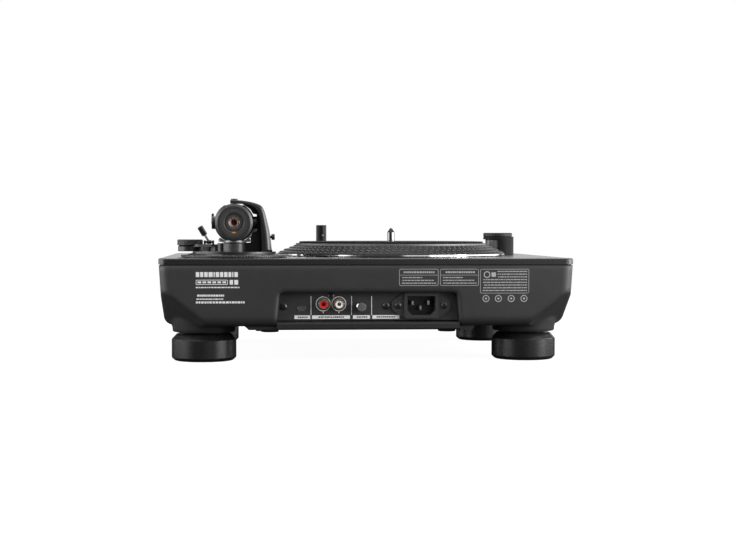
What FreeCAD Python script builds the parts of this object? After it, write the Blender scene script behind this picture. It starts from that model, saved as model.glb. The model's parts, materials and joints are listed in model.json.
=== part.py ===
import FreeCAD, Part
import math
import os

V = FreeCAD.Vector

# ----------------------------------------------------------------------------
# Compact direct-drive record player for 7-inch records. Millimetres.
# +Z is up, the front of the deck faces -Y, the connectors face +Y.
# The origin is the centre of the footprint on the surface it stands on.
# ----------------------------------------------------------------------------

# Radial gap of every running fit
RUN_GAP = 0.05

# Deck
WIDTH = 358.4
DEPTH = 300.0
DECK_Z = 89.7
PLATE_T = 5.2
PLATE_Z = DECK_Z - PLATE_T
PLATE_CORNER_R = 8.0
PLATE_EDGE_R = 1.2
BUTTON_GAP = 0.4
BUTTON_SKIRT = 1.2
GROOVE_H = 0.9
GROOVE_IN = 1.0

# Plinth
WALL = 4.0
FLOOR_Z = 31.4
FLOOR_T = 4.0
SIDE_DRAFT = 3.2
END_DRAFT = 0.6
PLINTH_CORNER_R = 8.5
SKIRT_R = 7.4
FACET_TOP_Z = 64.4
FACET_SLOPE = 1.296
POD_R = 27.4
POD_Z = 25.2
BOSS_R = 12.0
BOSS_Z = 56.0

# Feet
FOOT_X = 141.8
FOOT_Y = 109.6
FOOT_R = 28.2
FOOT_H = 23.4
FOOT_NECK_R = 18.2
STUD_R = 5.0
FOOT_CORNERS = {
    "front_left": (-1, -1),
    "front_right": (1, -1),
    "rear_left": (-1, 1),
    "rear_right": (1, 1),
}

# Bottom tray
TRAY_Z = 28.3
TRAY_T = 1.5
TRAY_LEFT = -93.0
TRAY_RIGHT = 106.0
TRAY_FRONT = -112.0
UPSTAND_TOP = 34.9
TRAY_RIM = 9.0
TRAY_SCREW_R = 2.0
TRAY_SCREW_DEPTH = 3.0

# Connector recess and panel
REAR_Y = DEPTH / 2
RECESS_DEPTH = 8.0
PANEL_Y = REAR_Y - RECESS_DEPTH
PANEL_T = 1.5
RECESS_TOP_Z = 60.7
RECESS_HALF_TOP = 76.4
RECESS_HALF_BOTTOM = 79.2
RECESS_CORNER_R = 3.5
PANEL_Z0 = 36.3
PANEL_TOP_Z = RECESS_TOP_Z + 3.0
PANEL_HALF_W = RECESS_HALF_BOTTOM + 3.0

# Drive and platter
SPINDLE_X = -33.7
SPINDLE_Y = 0.0
SPINDLE_R = 3.57
SPINDLE_TOP = 116.2
BEARING_R = 4.0
PLATTER_R = 109.0
PLATTER_Z = 90.2
RIM_H = 2.3
LIP_R = 91.5
LIP_Z = 101.6
MAT_R = 88.5
MAT_T = 1.7
MOTOR_HOLE_R = 50.0

# Tonearm
PIVOT_X = 115.3
PIVOT_Y = 97.0
ARM_Z = 120.4
TUBE_R = 4.5
RING_R = 47.0
FLANGE_R = 36.7
SLEEVE_R = 30.0
SLEEVE_T = 4.0
COUNTERWEIGHT_R = 16.2
COUNTERWEIGHT_Y0 = 113.0
COUNTERWEIGHT_Y1 = 130.5
SHAFT_R = 7.6
HEAD_ANGLE = 22.0
STYLUS_Z = 104.9

# Strobe tower and target light
TOWER_X = -151.0
TOWER_Y = -65.0
TOWER_R = 14.3
SPIGOT_R = 8.0
DIAL_X = -149.2
DIAL_R = 14.6
DIAL_TOP = 111.5
DIAL_H = 3.6
LIGHT_X = 27.9
LIGHT_Y = -115.0
LIGHT_R = 5.3
LIGHT_TOP = 119.3

# Controls on the deck
FADER_X = 150.0
FADER_Y = -68.0
FADER_LEN = 112.0
FADER_W = 24.0
FADER_UNIT_W = 14.0
FADER_UNIT_LEN = 92.0
FADER_SLOT_LEN = 84.0
START_X = -148.0
START_Y = -124.0


# ----------------------------------------------------------------------------
# Building blocks
# ----------------------------------------------------------------------------

def box(x0, x1, y0, y1, z0, z1):
    return Part.makeBox(x1 - x0, y1 - y0, z1 - z0, V(x0, y0, z0))


def disc(x, y, r, z0, z1):
    return Part.makeCylinder(r, z1 - z0, V(x, y, z0))


def ring(x, y, outer, inner, z0, z1):
    return disc(x, y, outer, z0, z1).cut(disc(x, y, inner, z0 - 1, z1 + 1))


def rod(x, z, r, y0, y1):
    """Round bar along Y."""
    return Part.makeCylinder(r, y1 - y0, V(x, y0, z), V(0, 1, 0))


def cross_rod(y, z, r, x0, x1):
    """Round bar along X."""
    return Part.makeCylinder(r, x1 - x0, V(x0, y, z), V(1, 0, 0))


def turned(points, x, y):
    """Solid of revolution about the vertical line through x, y; points are (radius, z)."""
    face = Part.Face(Part.makePolygon([V(r, 0, z) for r, z in points + points[:1]]))
    solid = face.revolve(V(0, 0, 0), V(0, 0, 1), 360)
    solid.translate(V(x, y, 0))
    return solid


def turned_y(points, x, z):
    """Solid of revolution about a line along Y through x, z; points are (radius, y)."""
    face = Part.Face(Part.makePolygon([V(r, y, 0) for r, y in points + points[:1]]))
    solid = face.revolve(V(0, 0, 0), V(0, 1, 0), 360)
    solid.translate(V(x, 0, z))
    return solid


def slab(points, z0, z1):
    """Prism with a plan outline given as (x, y) points."""
    face = Part.Face(Part.makePolygon([V(x, y, z0) for x, y in points + points[:1]]))
    return face.extrude(V(0, 0, z1 - z0))


def plate_xz(points, y0, y1):
    """Prism with an outline in the XZ plane, running along Y."""
    face = Part.Face(Part.makePolygon([V(x, y0, z) for x, z in points + points[:1]]))
    return face.extrude(V(0, y1 - y0, 0))


def rounded_wire(half_x, half_y, radius, z):
    """Closed outline of a rectangle with round corners, centred on the origin."""
    edges = []
    corners = [(1, 1, 0), (-1, 1, 90), (-1, -1, 180), (1, -1, 270)]
    for sx, sy, start in corners:
        centre = V(sx * (half_x - radius), sy * (half_y - radius), z)
        circle = Part.Circle(centre, V(0, 0, 1), radius)
        arc = Part.Arc(circle, math.radians(start), math.radians(start + 90))
        edges.append(arc.toShape())
    joined = []
    for index, edge in enumerate(edges):
        following = edges[(index + 1) % len(edges)]
        joined.append(edge)
        joined.append(Part.LineSegment(edge.Vertexes[-1].Point, following.Vertexes[0].Point).toShape())
    return Part.Wire(joined)


def rounded_prism(half_x, half_y, radius, z0, z1):
    return Part.Face(rounded_wire(half_x, half_y, radius, z0)).extrude(V(0, 0, z1 - z0))


def edges_at_z(solid, z):
    """Edges of a solid that lie wholly at one height."""
    found = []
    for edge in solid.Edges:
        span = edge.BoundBox
        if abs(span.ZMin - z) < 0.01 and abs(span.ZMax - z) < 0.01:
            found.append(edge)
    return found


def fused(first, *others):
    return first.multiFuse(list(others)).removeSplitter()


def cut_all(solid, *tools):
    return solid.cut(Part.makeCompound(list(tools)))


def on_circle(x, y, radius, degrees):
    """Point on a circle round x, y."""
    turn = math.radians(degrees)
    return x + radius * math.cos(turn), y + radius * math.sin(turn)


def turned_to(solid, angle, x, y, axis=(0, 0, 1), z=0.0):
    """Rotate a solid about a line through x, y, z."""
    solid = solid.copy()
    solid.rotate(V(x, y, z), V(*axis), angle)
    return solid


# ----------------------------------------------------------------------------
# Deck: plate, plinth, tray
# ----------------------------------------------------------------------------

def make_top_plate():
    plate = rounded_prism(WIDTH / 2, DEPTH / 2, PLATE_CORNER_R, PLATE_Z, DECK_Z)
    plate = plate.makeFillet(PLATE_EDGE_R, edges_at_z(plate, DECK_Z))
    low, high = PLATE_Z - 1, DECK_Z + 1
    holes = [
        disc(SPINDLE_X, SPINDLE_Y, MOTOR_HOLE_R, low, high),
        disc(PIVOT_X, PIVOT_Y, SLEEVE_R + SLEEVE_T, low, high),
        disc(TOWER_X, TOWER_Y, SPIGOT_R, low, high),
        disc(LIGHT_X, LIGHT_Y, LIGHT_R + RUN_GAP, low, high),
        disc(REST_X, REST_Y, REST_STUD_R, low, high),
        fader_block(FADER_UNIT_W, FADER_UNIT_LEN, low, high),
    ]
    for x, half_x, y, half_y in button_sites().values():
        across = half_x + BUTTON_GAP
        along = half_y + BUTTON_GAP
        holes.append(box(x - across, x + across, y - along, y + along, low, high))
    return cut_all(plate, *holes)


def corner_facet(sx, sy, offset, half_x):
    """Wedge outside a sloping plane that takes one lower corner off the plinth."""
    reach = 80.0
    wires = []
    for z in (FLOOR_Z - 10, FACET_TOP_Z + 30):
        near = (half_x + DEPTH / 2 + offset - (FACET_TOP_Z - z) * FACET_SLOPE) / 2
        a = V(sx * (near + reach), sy * (near - reach), z)
        b = V(sx * (near - reach), sy * (near + reach), z)
        c = V(sx * (near + reach), sy * (near + 3 * reach), z)
        d = V(sx * (near + 3 * reach), sy * (near + reach), z)
        wires.append(Part.makePolygon([a, b, c, d, a]))
    return Part.makeLoft(wires, True, True)


def plinth_block(inset, z0, z1):
    """Drafted block of the plinth between two heights, shrunk by inset."""
    wires = []
    for z in (z0, z1):
        drop = (PLATE_Z - z) / (PLATE_Z - FLOOR_Z)
        half_x = WIDTH / 2 - 0.2 - inset - SIDE_DRAFT * drop
        half_y = DEPTH / 2 - inset - END_DRAFT * drop
        wires.append(rounded_wire(half_x, half_y, PLINTH_CORNER_R, z))
    return Part.makeLoft(wires, True, True)


def pod(sx, sy):
    profile = [
        (0, POD_Z), (POD_R - 0.8, POD_Z), (POD_R, POD_Z + 0.8), (POD_R + 0.2, 29.0),
        (28.4, 31.5), (29.4, 34.6), (30.0, 38.0), (30.2, 46.0), (0, 46.0),
    ]
    return turned(profile, sx * FOOT_X, sy * FOOT_Y)


def recess_tool(y0, y1):
    """Space of the connector recess: open at the bottom, round in its upper corners."""
    radius = RECESS_CORNER_R
    slope = (RECESS_HALF_BOTTOM - RECESS_HALF_TOP) / (RECESS_TOP_Z - FLOOR_Z)
    low = FLOOR_Z - 6
    wide = RECESS_HALF_TOP + slope * (RECESS_TOP_Z - low)
    shoulder = RECESS_HALF_TOP + slope * radius
    right = V(shoulder, y0, RECESS_TOP_Z - radius)
    right_top = V(RECESS_HALF_TOP - radius, y0, RECESS_TOP_Z)
    right_mid = V(RECESS_HALF_TOP - radius * 0.26, y0, RECESS_TOP_Z - radius * 0.28)
    left = V(-right.x, y0, right.z)
    left_top = V(-right_top.x, y0, right_top.z)
    left_mid = V(-right_mid.x, y0, right_mid.z)
    edges = [
        Part.LineSegment(V(wide, y0, low), right).toShape(),
        Part.Arc(right, right_mid, right_top).toShape(),
        Part.LineSegment(right_top, left_top).toShape(),
        Part.Arc(left_top, left_mid, left).toShape(),
        Part.LineSegment(left, V(-wide, y0, low)).toShape(),
        Part.LineSegment(V(-wide, y0, low), V(wide, y0, low)).toShape(),
    ]
    return Part.Face(Part.Wire(edges)).extrude(V(0, y1 - y0, 0))


def make_plinth_shell():
    block = plinth_block(0.0, FLOOR_Z, PLATE_Z - GROOVE_H)
    block = block.makeFillet(SKIRT_R, edges_at_z(block, FLOOR_Z))
    half_x = WIDTH / 2 - SIDE_DRAFT / 2
    signs = list(FOOT_CORNERS.values())
    block = cut_all(block, *[corner_facet(sx, sy, 0.0, half_x) for sx, sy in signs])
    rim = plinth_block(GROOVE_IN, PLATE_Z - GROOVE_H, PLATE_Z)
    block = fused(block, rim, *[pod(sx, sy) for sx, sy in signs])

    hollow = plinth_block(WALL, FLOOR_Z + FLOOR_T, PLATE_Z + 1)
    hollow = cut_all(hollow, *[corner_facet(sx, sy, -7.0, half_x) for sx, sy in signs])
    frame = box(-PANEL_HALF_W, PANEL_HALF_W, PANEL_Y, REAR_Y, FLOOR_Z, PANEL_TOP_Z)
    bosses = [disc(sx * FOOT_X, sy * FOOT_Y, BOSS_R, FLOOR_Z, BOSS_Z) for sx, sy in signs]
    shell = block.cut(cut_all(hollow, frame, *bosses))

    tools = [
        recess_tool(PANEL_Y - 1, REAR_Y + 1),
        tray_inside(FLOOR_Z - 1, FLOOR_Z + FLOOR_T + 1),
    ]
    for sx, sy in signs:
        tools.append(disc(sx * FOOT_X, sy * FOOT_Y, STUD_R + RUN_GAP, POD_Z - 1, BOSS_Z - 3))
        tools.append(disc(sx * FOOT_X, sy * FOOT_Y, FOOT_NECK_R + 3.5, POD_Z - 1, POD_Z + 5.2))
    for x, y in tray_screw_sites():
        tools.append(disc(x, y, TRAY_SCREW_R, FLOOR_Z - 1, FLOOR_Z + TRAY_SCREW_DEPTH))
    return cut_all(shell, *tools)


def tray_inside(z0, z1):
    """Block inside the rim that the tray is screwed on by."""
    return box(TRAY_LEFT + TRAY_RIM, TRAY_RIGHT - TRAY_RIM, TRAY_FRONT + TRAY_RIM, PANEL_Y - TRAY_RIM, z0, z1)


def make_bottom_tray():
    """Pressed cover under the plinth with a folded rear upstand and board posts."""
    side = [
        (TRAY_LEFT, FLOOR_Z), (TRAY_LEFT + 2.6, TRAY_Z), (TRAY_RIGHT - 3.4, TRAY_Z), (TRAY_RIGHT, FLOOR_Z),
    ]
    tray = plate_xz(side, TRAY_FRONT, REAR_Y - 6)
    tray = tray.cut(tray_inside(TRAY_Z + TRAY_T, FLOOR_Z + 1))
    half_x = RECESS_HALF_BOTTOM - 0.4
    upstand = box(-half_x, half_x, REAR_Y - 6, REAR_Y - 2.4, TRAY_Z, UPSTAND_TOP)
    long_edges = [e for e in upstand.Edges if e.BoundBox.XLength > 100 and e.BoundBox.YMin > REAR_Y - 3]
    upstand = upstand.makeFillet(1.6, long_edges)
    posts = [disc(x, y, 3.0, TRAY_Z + TRAY_T, BOARD_Z) for x, y in board_posts()]
    holes = [disc(x, y, TRAY_SCREW_R, TRAY_Z - 1, FLOOR_Z + 1) for x, y in tray_screw_sites()]
    return cut_all(fused(tray, upstand, *posts), *holes)


def tray_screw_sites():
    """Screw places on the solid rim of the tray."""
    inset = 5.6
    middle = 20.0
    sites = [(TRAY_LEFT + inset, middle), (TRAY_RIGHT - inset, middle)]
    for y in (TRAY_FRONT + inset, PANEL_Y - 4.0):
        for x in (TRAY_LEFT + 12.0, TRAY_RIGHT - 12.0):
            sites.append((x, y))
    return sites


def make_tray_screws():
    tip = FLOOR_Z + TRAY_SCREW_DEPTH
    screws = []
    for x, y in tray_screw_sites():
        head = disc(x, y, 2.6, TRAY_Z - 1.2, TRAY_Z)
        slot = box(x - 1.8, x + 1.8, y - 0.3, y + 0.3, TRAY_Z - 1.3, TRAY_Z - 0.6)
        screws.append(fused(head, disc(x, y, TRAY_SCREW_R, TRAY_Z, tip)).cut(slot))
    return Part.makeCompound(screws)


def make_tray_pads():
    pads = []
    for x, y in ((84.5, 130.0), (-70.0, 130.0), (84.5, -100.0), (-70.0, -100.0)):
        body = disc(x, y, 7.7, TRAY_Z - 2.5, TRAY_Z)
        pads.append(body.makeFillet(0.7, edges_at_z(body, TRAY_Z - 2.5)))
    return Part.makeCompound(pads)


def make_foot(sx, sy):
    """Turned foot cup with a soft neck and a threaded stud into the pod."""
    profile = [
        (0, 0), (FOOT_R - 3.4, 0), (FOOT_R - 2.6, 0.3), (FOOT_R - 0.3, 2.4), (FOOT_R, 3.2),
        (FOOT_R, 18.4), (FOOT_R - 0.4, 19.0), (FOOT_R - 4.2, FOOT_H - 0.3), (FOOT_R - 4.9, FOOT_H),
        (FOOT_NECK_R, FOOT_H), (FOOT_NECK_R + 1.6, 26.0), (FOOT_NECK_R + 1.6, 28.8),
        (STUD_R, 28.8), (STUD_R, 50.5), (STUD_R - 1.0, 51.5), (0, 51.5),
    ]
    return turned(profile, sx * FOOT_X, sy * FOOT_Y)


# ----------------------------------------------------------------------------
# Connector panel
# ----------------------------------------------------------------------------

JACK_X = {"red": 38.8, "white": 25.3}
JACK_Z = 50.5
JACK_R = 4.15
JACK_CORE_R = 3.3
JACK_BORE_R = 1.65
PORT_X = 57.4
PORT_Z = 46.2
PORT_HALF_W = 3.8
PORT_HALF_H = 1.9
GROUND_X = 6.2
GROUND_Z = 48.2
GROUND_R = 2.0
INLET_X = -45.8
INLET_Z = 49.0
INLET_HALF_W = 14.75
INLET_HALF_H = 11.1
INLET_SCREW_PITCH = 40.0
INLET_FLANGE_T = 2.0
INLET_BODY_HALF_W = 14.0
INLET_BODY_HALF_H = 10.2
PANEL_SCREWS = ((72.9, 48.2), (32.2, 57.4), (-15.6, 48.7))
PANEL_SCREW_R = 1.5
INLET_SCREW_R = 1.6


def make_connector_panel():
    panel = box(-PANEL_HALF_W, PANEL_HALF_W, PANEL_Y - PANEL_T, PANEL_Y, PANEL_Z0, PANEL_TOP_Z)
    back, front = PANEL_Y - PANEL_T - 1, PANEL_Y + 1
    holes = [rod(x, JACK_Z, JACK_R, back, front) for x in JACK_X.values()]
    holes.append(rod(GROUND_X, GROUND_Z, GROUND_R, back, front))
    holes.append(box(PORT_X - PORT_HALF_W, PORT_X + PORT_HALF_W, back, front,
                     PORT_Z - PORT_HALF_H, PORT_Z + PORT_HALF_H))
    holes.append(inlet_body(back, front))
    for x, z in PANEL_SCREWS:
        holes.append(rod(x, z, PANEL_SCREW_R, back, front))
    return cut_all(panel, *holes)


def cross_head_screw(x, z, y, head_r, shank_r, shank_len):
    """Pan-head screw along Y: head outside the face at y, shank inside it."""
    head = turned_y([(0, y), (head_r, y), (head_r, y + 0.8), (head_r * 0.6, y + 1.5), (0, y + 1.6)], x, z)
    shank = rod(x, z, shank_r, y - shank_len, y)
    slots = [
        box(x - head_r * 0.6, x + head_r * 0.6, y + 0.7, y + 2, z - 0.35, z + 0.35),
        box(x - 0.35, x + 0.35, y + 0.7, y + 2, z - head_r * 0.6, z + head_r * 0.6),
    ]
    return cut_all(fused(head, shank), *slots)


def make_panel_screws():
    """Three screws that hold the panel and two that hold the mains inlet."""
    screws = [cross_head_screw(x, z, PANEL_Y, 2.9, PANEL_SCREW_R, 5.0) for x, z in PANEL_SCREWS]
    for side in (-1, 1):
        x = INLET_X + side * INLET_SCREW_PITCH / 2
        face_y = PANEL_Y + INLET_FLANGE_T
        screws.append(cross_head_screw(x, INLET_Z, face_y, 2.8, INLET_SCREW_R, INLET_FLANGE_T))
    return Part.makeCompound(screws)


def make_rca_shells():
    """Metal barrels of the two phono jacks, each with a round shoulder on the panel."""
    shells = []
    for x in JACK_X.values():
        tip = PANEL_Y + 7.4
        profile = [
            (JACK_CORE_R, PANEL_Y - 6), (JACK_R, PANEL_Y - 6), (JACK_R, PANEL_Y), (5.1, PANEL_Y),
            (5.1, PANEL_Y + 1.2), (JACK_R, PANEL_Y + 1.2), (JACK_R, tip - 0.4), (JACK_R - 0.3, tip),
            (JACK_CORE_R, tip),
        ]
        shells.append(turned_y(profile, x, JACK_Z))
    return Part.makeCompound(shells)


def make_rca_insulator(colour):
    body = rod(JACK_X[colour], JACK_Z, JACK_CORE_R, PANEL_Y - 6, PANEL_Y + 6.8)
    bore = rod(JACK_X[colour], JACK_Z, JACK_BORE_R, PANEL_Y - 2, PANEL_Y + 8)
    return body.cut(bore)


def make_service_port():
    """Small data socket: a bent metal shell with a contact tongue."""
    wide, high = PORT_HALF_W, PORT_HALF_H
    outer = [(-wide, high), (wide, high), (wide, -0.2), (2.6, -high), (-2.6, -high), (-wide, -0.2)]
    inner = [(x * 0.86, z * 0.72) for x, z in outer]
    shell = plate_xz([(PORT_X + x, PORT_Z + z) for x, z in outer], PANEL_Y - 5, PANEL_Y + 0.4)
    mouth = plate_xz([(PORT_X + x, PORT_Z + z) for x, z in inner], PANEL_Y - 4, PANEL_Y + 1)
    tongue = box(PORT_X - 2, PORT_X + 2, PANEL_Y - 4, PANEL_Y - 0.3, PORT_Z + 0.1, PORT_Z + 0.7)
    return fused(shell.cut(mouth), tongue)


def make_ground_stud():
    stud = rod(GROUND_X, GROUND_Z, GROUND_R, PANEL_Y - 6, PANEL_Y + 7.6)
    washer = rod(GROUND_X, GROUND_Z, 3.6, PANEL_Y, PANEL_Y + 1.0)
    return fused(stud, washer)


def make_ground_nut():
    """Thumb nut with a scalloped edge."""
    y0, y1 = PANEL_Y + 1.4, PANEL_Y + 6.6
    bore = GROUND_R + RUN_GAP
    profile = [
        (bore, y0), (3.0, y0), (3.0, y0 + 1.0), (4.2, y0 + 1.4), (4.2, y1 - 0.5), (3.7, y1), (bore, y1),
    ]
    nut = turned_y(profile, GROUND_X, GROUND_Z)
    count = 16
    grooves = []
    for index in range(count):
        x, z = on_circle(GROUND_X, GROUND_Z, 4.45, 360.0 * index / count)
        grooves.append(rod(x, z, 0.45, y0 - 1, y1 + 1))
    return cut_all(nut, *grooves)


def inlet_outline(half_w, half_h, chamfer):
    """Outline of the inlet opening: its two lower corners are cut off."""
    return [
        (INLET_X - half_w, INLET_Z + half_h), (INLET_X + half_w, INLET_Z + half_h),
        (INLET_X + half_w, INLET_Z - half_h + chamfer), (INLET_X + half_w - chamfer, INLET_Z - half_h),
        (INLET_X - half_w + chamfer, INLET_Z - half_h), (INLET_X - half_w, INLET_Z - half_h + chamfer),
    ]


def inlet_body(y0, y1):
    """Box of the inlet behind its flange."""
    return box(INLET_X - INLET_BODY_HALF_W, INLET_X + INLET_BODY_HALF_W, y0, y1,
               INLET_Z - INLET_BODY_HALF_H, INLET_Z + INLET_BODY_HALF_H)


def make_inlet_housing():
    """Mains inlet with a pointed flange, a raised collar and a deep socket."""
    wing, tip = 25.3, 3.4
    half_w, half_h = INLET_HALF_W, INLET_HALF_H
    outline = [
        (-wing, -tip), (-wing, tip), (-half_w, half_h), (half_w, half_h),
        (wing, tip), (wing, -tip), (half_w, -half_h), (-half_w, -half_h),
    ]
    flange = plate_xz([(INLET_X + x, INLET_Z + z) for x, z in outline], PANEL_Y, PANEL_Y + INLET_FLANGE_T)
    tips = [e for e in flange.Edges if e.BoundBox.YLength > 1 and abs(e.BoundBox.XMin - INLET_X) > wing - 1]
    flange = flange.makeFillet(3.0, tips)
    collar = box(INLET_X - half_w, INLET_X + half_w, PANEL_Y, PANEL_Y + 4.2,
                 INLET_Z - half_h, INLET_Z + half_h)
    collar = collar.makeFillet(2.0, [e for e in collar.Edges if e.BoundBox.YLength > 1])
    housing = fused(flange, collar, inlet_body(PANEL_Y - 18, PANEL_Y))
    cavity = plate_xz(inlet_outline(12.2, 8.2, 4.2), PANEL_Y - 13, PANEL_Y + 6)
    screw_holes = []
    for side in (-1, 1):
        x = INLET_X + side * INLET_SCREW_PITCH / 2
        screw_holes.append(rod(x, INLET_Z, INLET_SCREW_R, PANEL_Y - 1, PANEL_Y + 3))
    pin_holes = [box(*pin_box(x, z, PANEL_Y - 20, PANEL_Y - 12)) for x, z in inlet_pin_sites()]
    return cut_all(housing, cavity, *screw_holes, *pin_holes)


def inlet_pin_sites():
    return ((INLET_X - 7, INLET_Z + 2.2), (INLET_X + 7, INLET_Z + 2.2), (INLET_X, INLET_Z - 2.2))


def pin_box(x, z, y0, y1):
    return x - 1.0, x + 1.0, y0, y1, z - 2.0, z + 2.0


def make_inlet_pins():
    """Three flat contact blades that run back to solder tails."""
    pins = []
    for x, z in inlet_pin_sites():
        blade = box(*pin_box(x, z, PANEL_Y - 22, PANEL_Y - 2))
        front = [e for e in blade.Edges if e.BoundBox.YMin > PANEL_Y - 2.1]
        pins.append(blade.makeChamfer(0.5, front))
    return Part.makeCompound(pins)


# ----------------------------------------------------------------------------
# Electronics inside the plinth
# ----------------------------------------------------------------------------

MAIN_BOARD = (-78.0, 52.0, -96.0, -26.0)
SUPPLY_BOARD = (-80.0, 10.0, 46.0, 112.0)
BOARD_Z = 38.0
BOARD_T = 1.6


def board_posts():
    posts = []
    for x0, x1, y0, y1 in (MAIN_BOARD, SUPPLY_BOARD):
        for x in (x0 + 5, x1 - 5):
            for y in (y0 + 5, y1 - 5):
                posts.append((x, y))
    return posts


def make_main_board():
    """Motor control board with its processor, driver and connectors."""
    x0, x1, y0, y1 = MAIN_BOARD
    top = BOARD_Z + BOARD_T
    board = box(x0, x1, y0, y1, BOARD_Z, top)
    chip = box(x0 + 50, x0 + 64, y0 + 28, y0 + 42, top, top + 1.6)
    driver = box(x0 + 84, x0 + 102, y0 + 18, y0 + 30, top, top + 5)
    sockets = [box(x0 + 12 + 26 * i, x0 + 30 + 26 * i, y1 - 9, y1 - 3, top, top + 7) for i in range(4)]
    capacitors = [disc(x0 + 24, y0 + 16 + 14 * i, 5, top, top + 11) for i in range(3)]
    return fused(board, chip, driver, *sockets, *capacitors)


def make_power_supply():
    """Switching supply: transformer, filter choke, capacitors and a heat sink on a board."""
    x0, x1, y0, y1 = SUPPLY_BOARD
    top = BOARD_Z + BOARD_T
    board = box(x0, x1, y0, y1, BOARD_Z, top)
    transformer = box(x0 + 34, x0 + 62, y0 + 18, y0 + 44, top, top + 20)
    choke = box(x0 + 8, x0 + 26, y0 + 34, y0 + 52, top, top + 14)
    sink = box(x0 + 70, x0 + 73, y0 + 12, y0 + 54, top, top + 18)
    capacitors = [disc(x0 + 16, y0 + 14, 8, top, top + 20), disc(x0 + 82, y0 + 24, 5, top, top + 14)]
    return fused(board, transformer, choke, sink, *capacitors)


# ----------------------------------------------------------------------------
# Motor, platter and mat
# ----------------------------------------------------------------------------

def make_bearing_housing():
    """Motor base under the plate with a long sleeve bearing and a closed foot."""
    profile = [
        (0, 56.0), (9.0, 56.0), (9.0, 78.0), (20.0, 81.0), (58.0, 81.0), (58.0, PLATE_Z), (11.0, PLATE_Z),
        (11.0, 91.0), (BEARING_R + RUN_GAP, 91.0), (BEARING_R + RUN_GAP, 58.5), (0, 58.5),
    ]
    return turned(profile, SPINDLE_X, SPINDLE_Y)


def make_motor_stator():
    """Ring of wound poles around the bearing."""
    z0, z1 = PLATE_Z, 94.0
    core = ring(SPINDLE_X, SPINDLE_Y, 18.0, 11.0, z0, z1)
    poles = []
    count = 12
    for index in range(count):
        angle = 360.0 * index / count
        tooth = box(SPINDLE_X + 17, SPINDLE_X + 36, SPINDLE_Y - 2, SPINDLE_Y + 2, z0 + 1.5, z1 - 1.5)
        coil = box(SPINDLE_X + 20, SPINDLE_X + 33, SPINDLE_Y - 3.6, SPINDLE_Y + 3.6, z0 + 0.5, z1 - 0.5)
        poles.append(turned_to(fused(tooth, coil), angle, SPINDLE_X, SPINDLE_Y))
    return fused(core, *poles)


def make_rotor_magnet():
    return ring(SPINDLE_X, SPINDLE_Y, 46.0, 38.0, 87.0, 97.6)


def make_spindle():
    """Shaft that turns in the bearing and ends in the record pin."""
    mat_top = LIP_Z + MAT_T
    profile = [
        (0, 58.8), (3.0, 58.8), (BEARING_R, 59.8), (BEARING_R, mat_top), (SPINDLE_R, mat_top),
        (SPINDLE_R, 112.0), (2.6, 113.4), (0.9, SPINDLE_TOP - 0.3), (0, SPINDLE_TOP),
    ]
    return turned(profile, SPINDLE_X, SPINDLE_Y)


def make_platter():
    """Cast dish: flat top, sloping dotted flank, bright rim and a hub for the spindle."""
    z0, rim_z = PLATTER_Z, PLATTER_Z + RIM_H
    top_inside = LIP_Z - 4.0
    profile = [
        (BEARING_R, LIP_Z), (BEARING_R, 92.0), (10.0, 92.0),
        (10.0, top_inside), (LIP_R - 5, top_inside), (PLATTER_R - 7.5, rim_z), (PLATTER_R - 7.5, z0),
        (PLATTER_R - 0.5, z0), (PLATTER_R, z0 + 0.5), (PLATTER_R, rim_z - 0.3), (PLATTER_R - 0.5, rim_z),
        (LIP_R + 0.3, 99.8), (LIP_R, 100.1), (LIP_R, LIP_Z - 0.3), (LIP_R - 0.3, LIP_Z),
    ]
    return turned(profile, SPINDLE_X, SPINDLE_Y)


def make_slipmat():
    mat = ring(SPINDLE_X, SPINDLE_Y, MAT_R, BEARING_R + 0.3, LIP_Z, LIP_Z + MAT_T)
    outer_edge = [e for e in edges_at_z(mat, LIP_Z + MAT_T) if e.BoundBox.XLength > MAT_R]
    return mat.makeFillet(0.5, outer_edge)


# ----------------------------------------------------------------------------
# Tonearm base
# ----------------------------------------------------------------------------

RING_Z0 = 90.3
RING_Z1 = 92.9
FLANGE_Z0 = 93.3
FLANGE_Z1 = 94.9
LIFT_RADIUS = 28.0
LIFT_STEM_Y = PIVOT_Y - 23.0
LIFT_STEM_R = 2.0
POST_BORE_R = 3.0
POST_TOP = 102.7
BRACKET_Z0 = 98.8
BRACKET_Z1 = 101.0
SKATE_X = 155.9
SKATE_Y = 60.0
SKATE_R = 11.6
SKATE_STUB_R = 3.0
LEVER_X = 138.7
LEVER_Y = 65.0
LEVER_Z = 103.0
LEVER_TIP_X = 148.0
LEVER_TIP_Z = 118.6
LEVER_PIN_R = 1.0
REST_X = 120.0
REST_Y = 37.0
REST_STUD_R = 2.5
CLAMP_X = 128.6
CLAMP_Z = 119.0
CLAMP_PIN_R = 0.9
CLAMP_EAR_X = 1.7
KNOB_Z = 107.8
KNOB_STEM_R = 1.2
ARCH_TOP = 140.4
TOP_SCREW_R = 1.5
WEB_Y0 = -12.5
WEB_Y1 = -7.6
ARCH_ROUND_FOOT = 5.5
ARCH_ROUND_TOP = 1.2


def make_arm_sleeve():
    """Guide sleeve in the deck: a thin flange on the plate and a tube down through it."""
    flange = ring(PIVOT_X, PIVOT_Y, 44.0, SLEEVE_R, DECK_Z, DECK_Z + 0.3)
    tube = ring(PIVOT_X, PIVOT_Y, SLEEVE_R + SLEEVE_T, SLEEVE_R, 70.0, 92.0)
    return fused(flange, tube)


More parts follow.
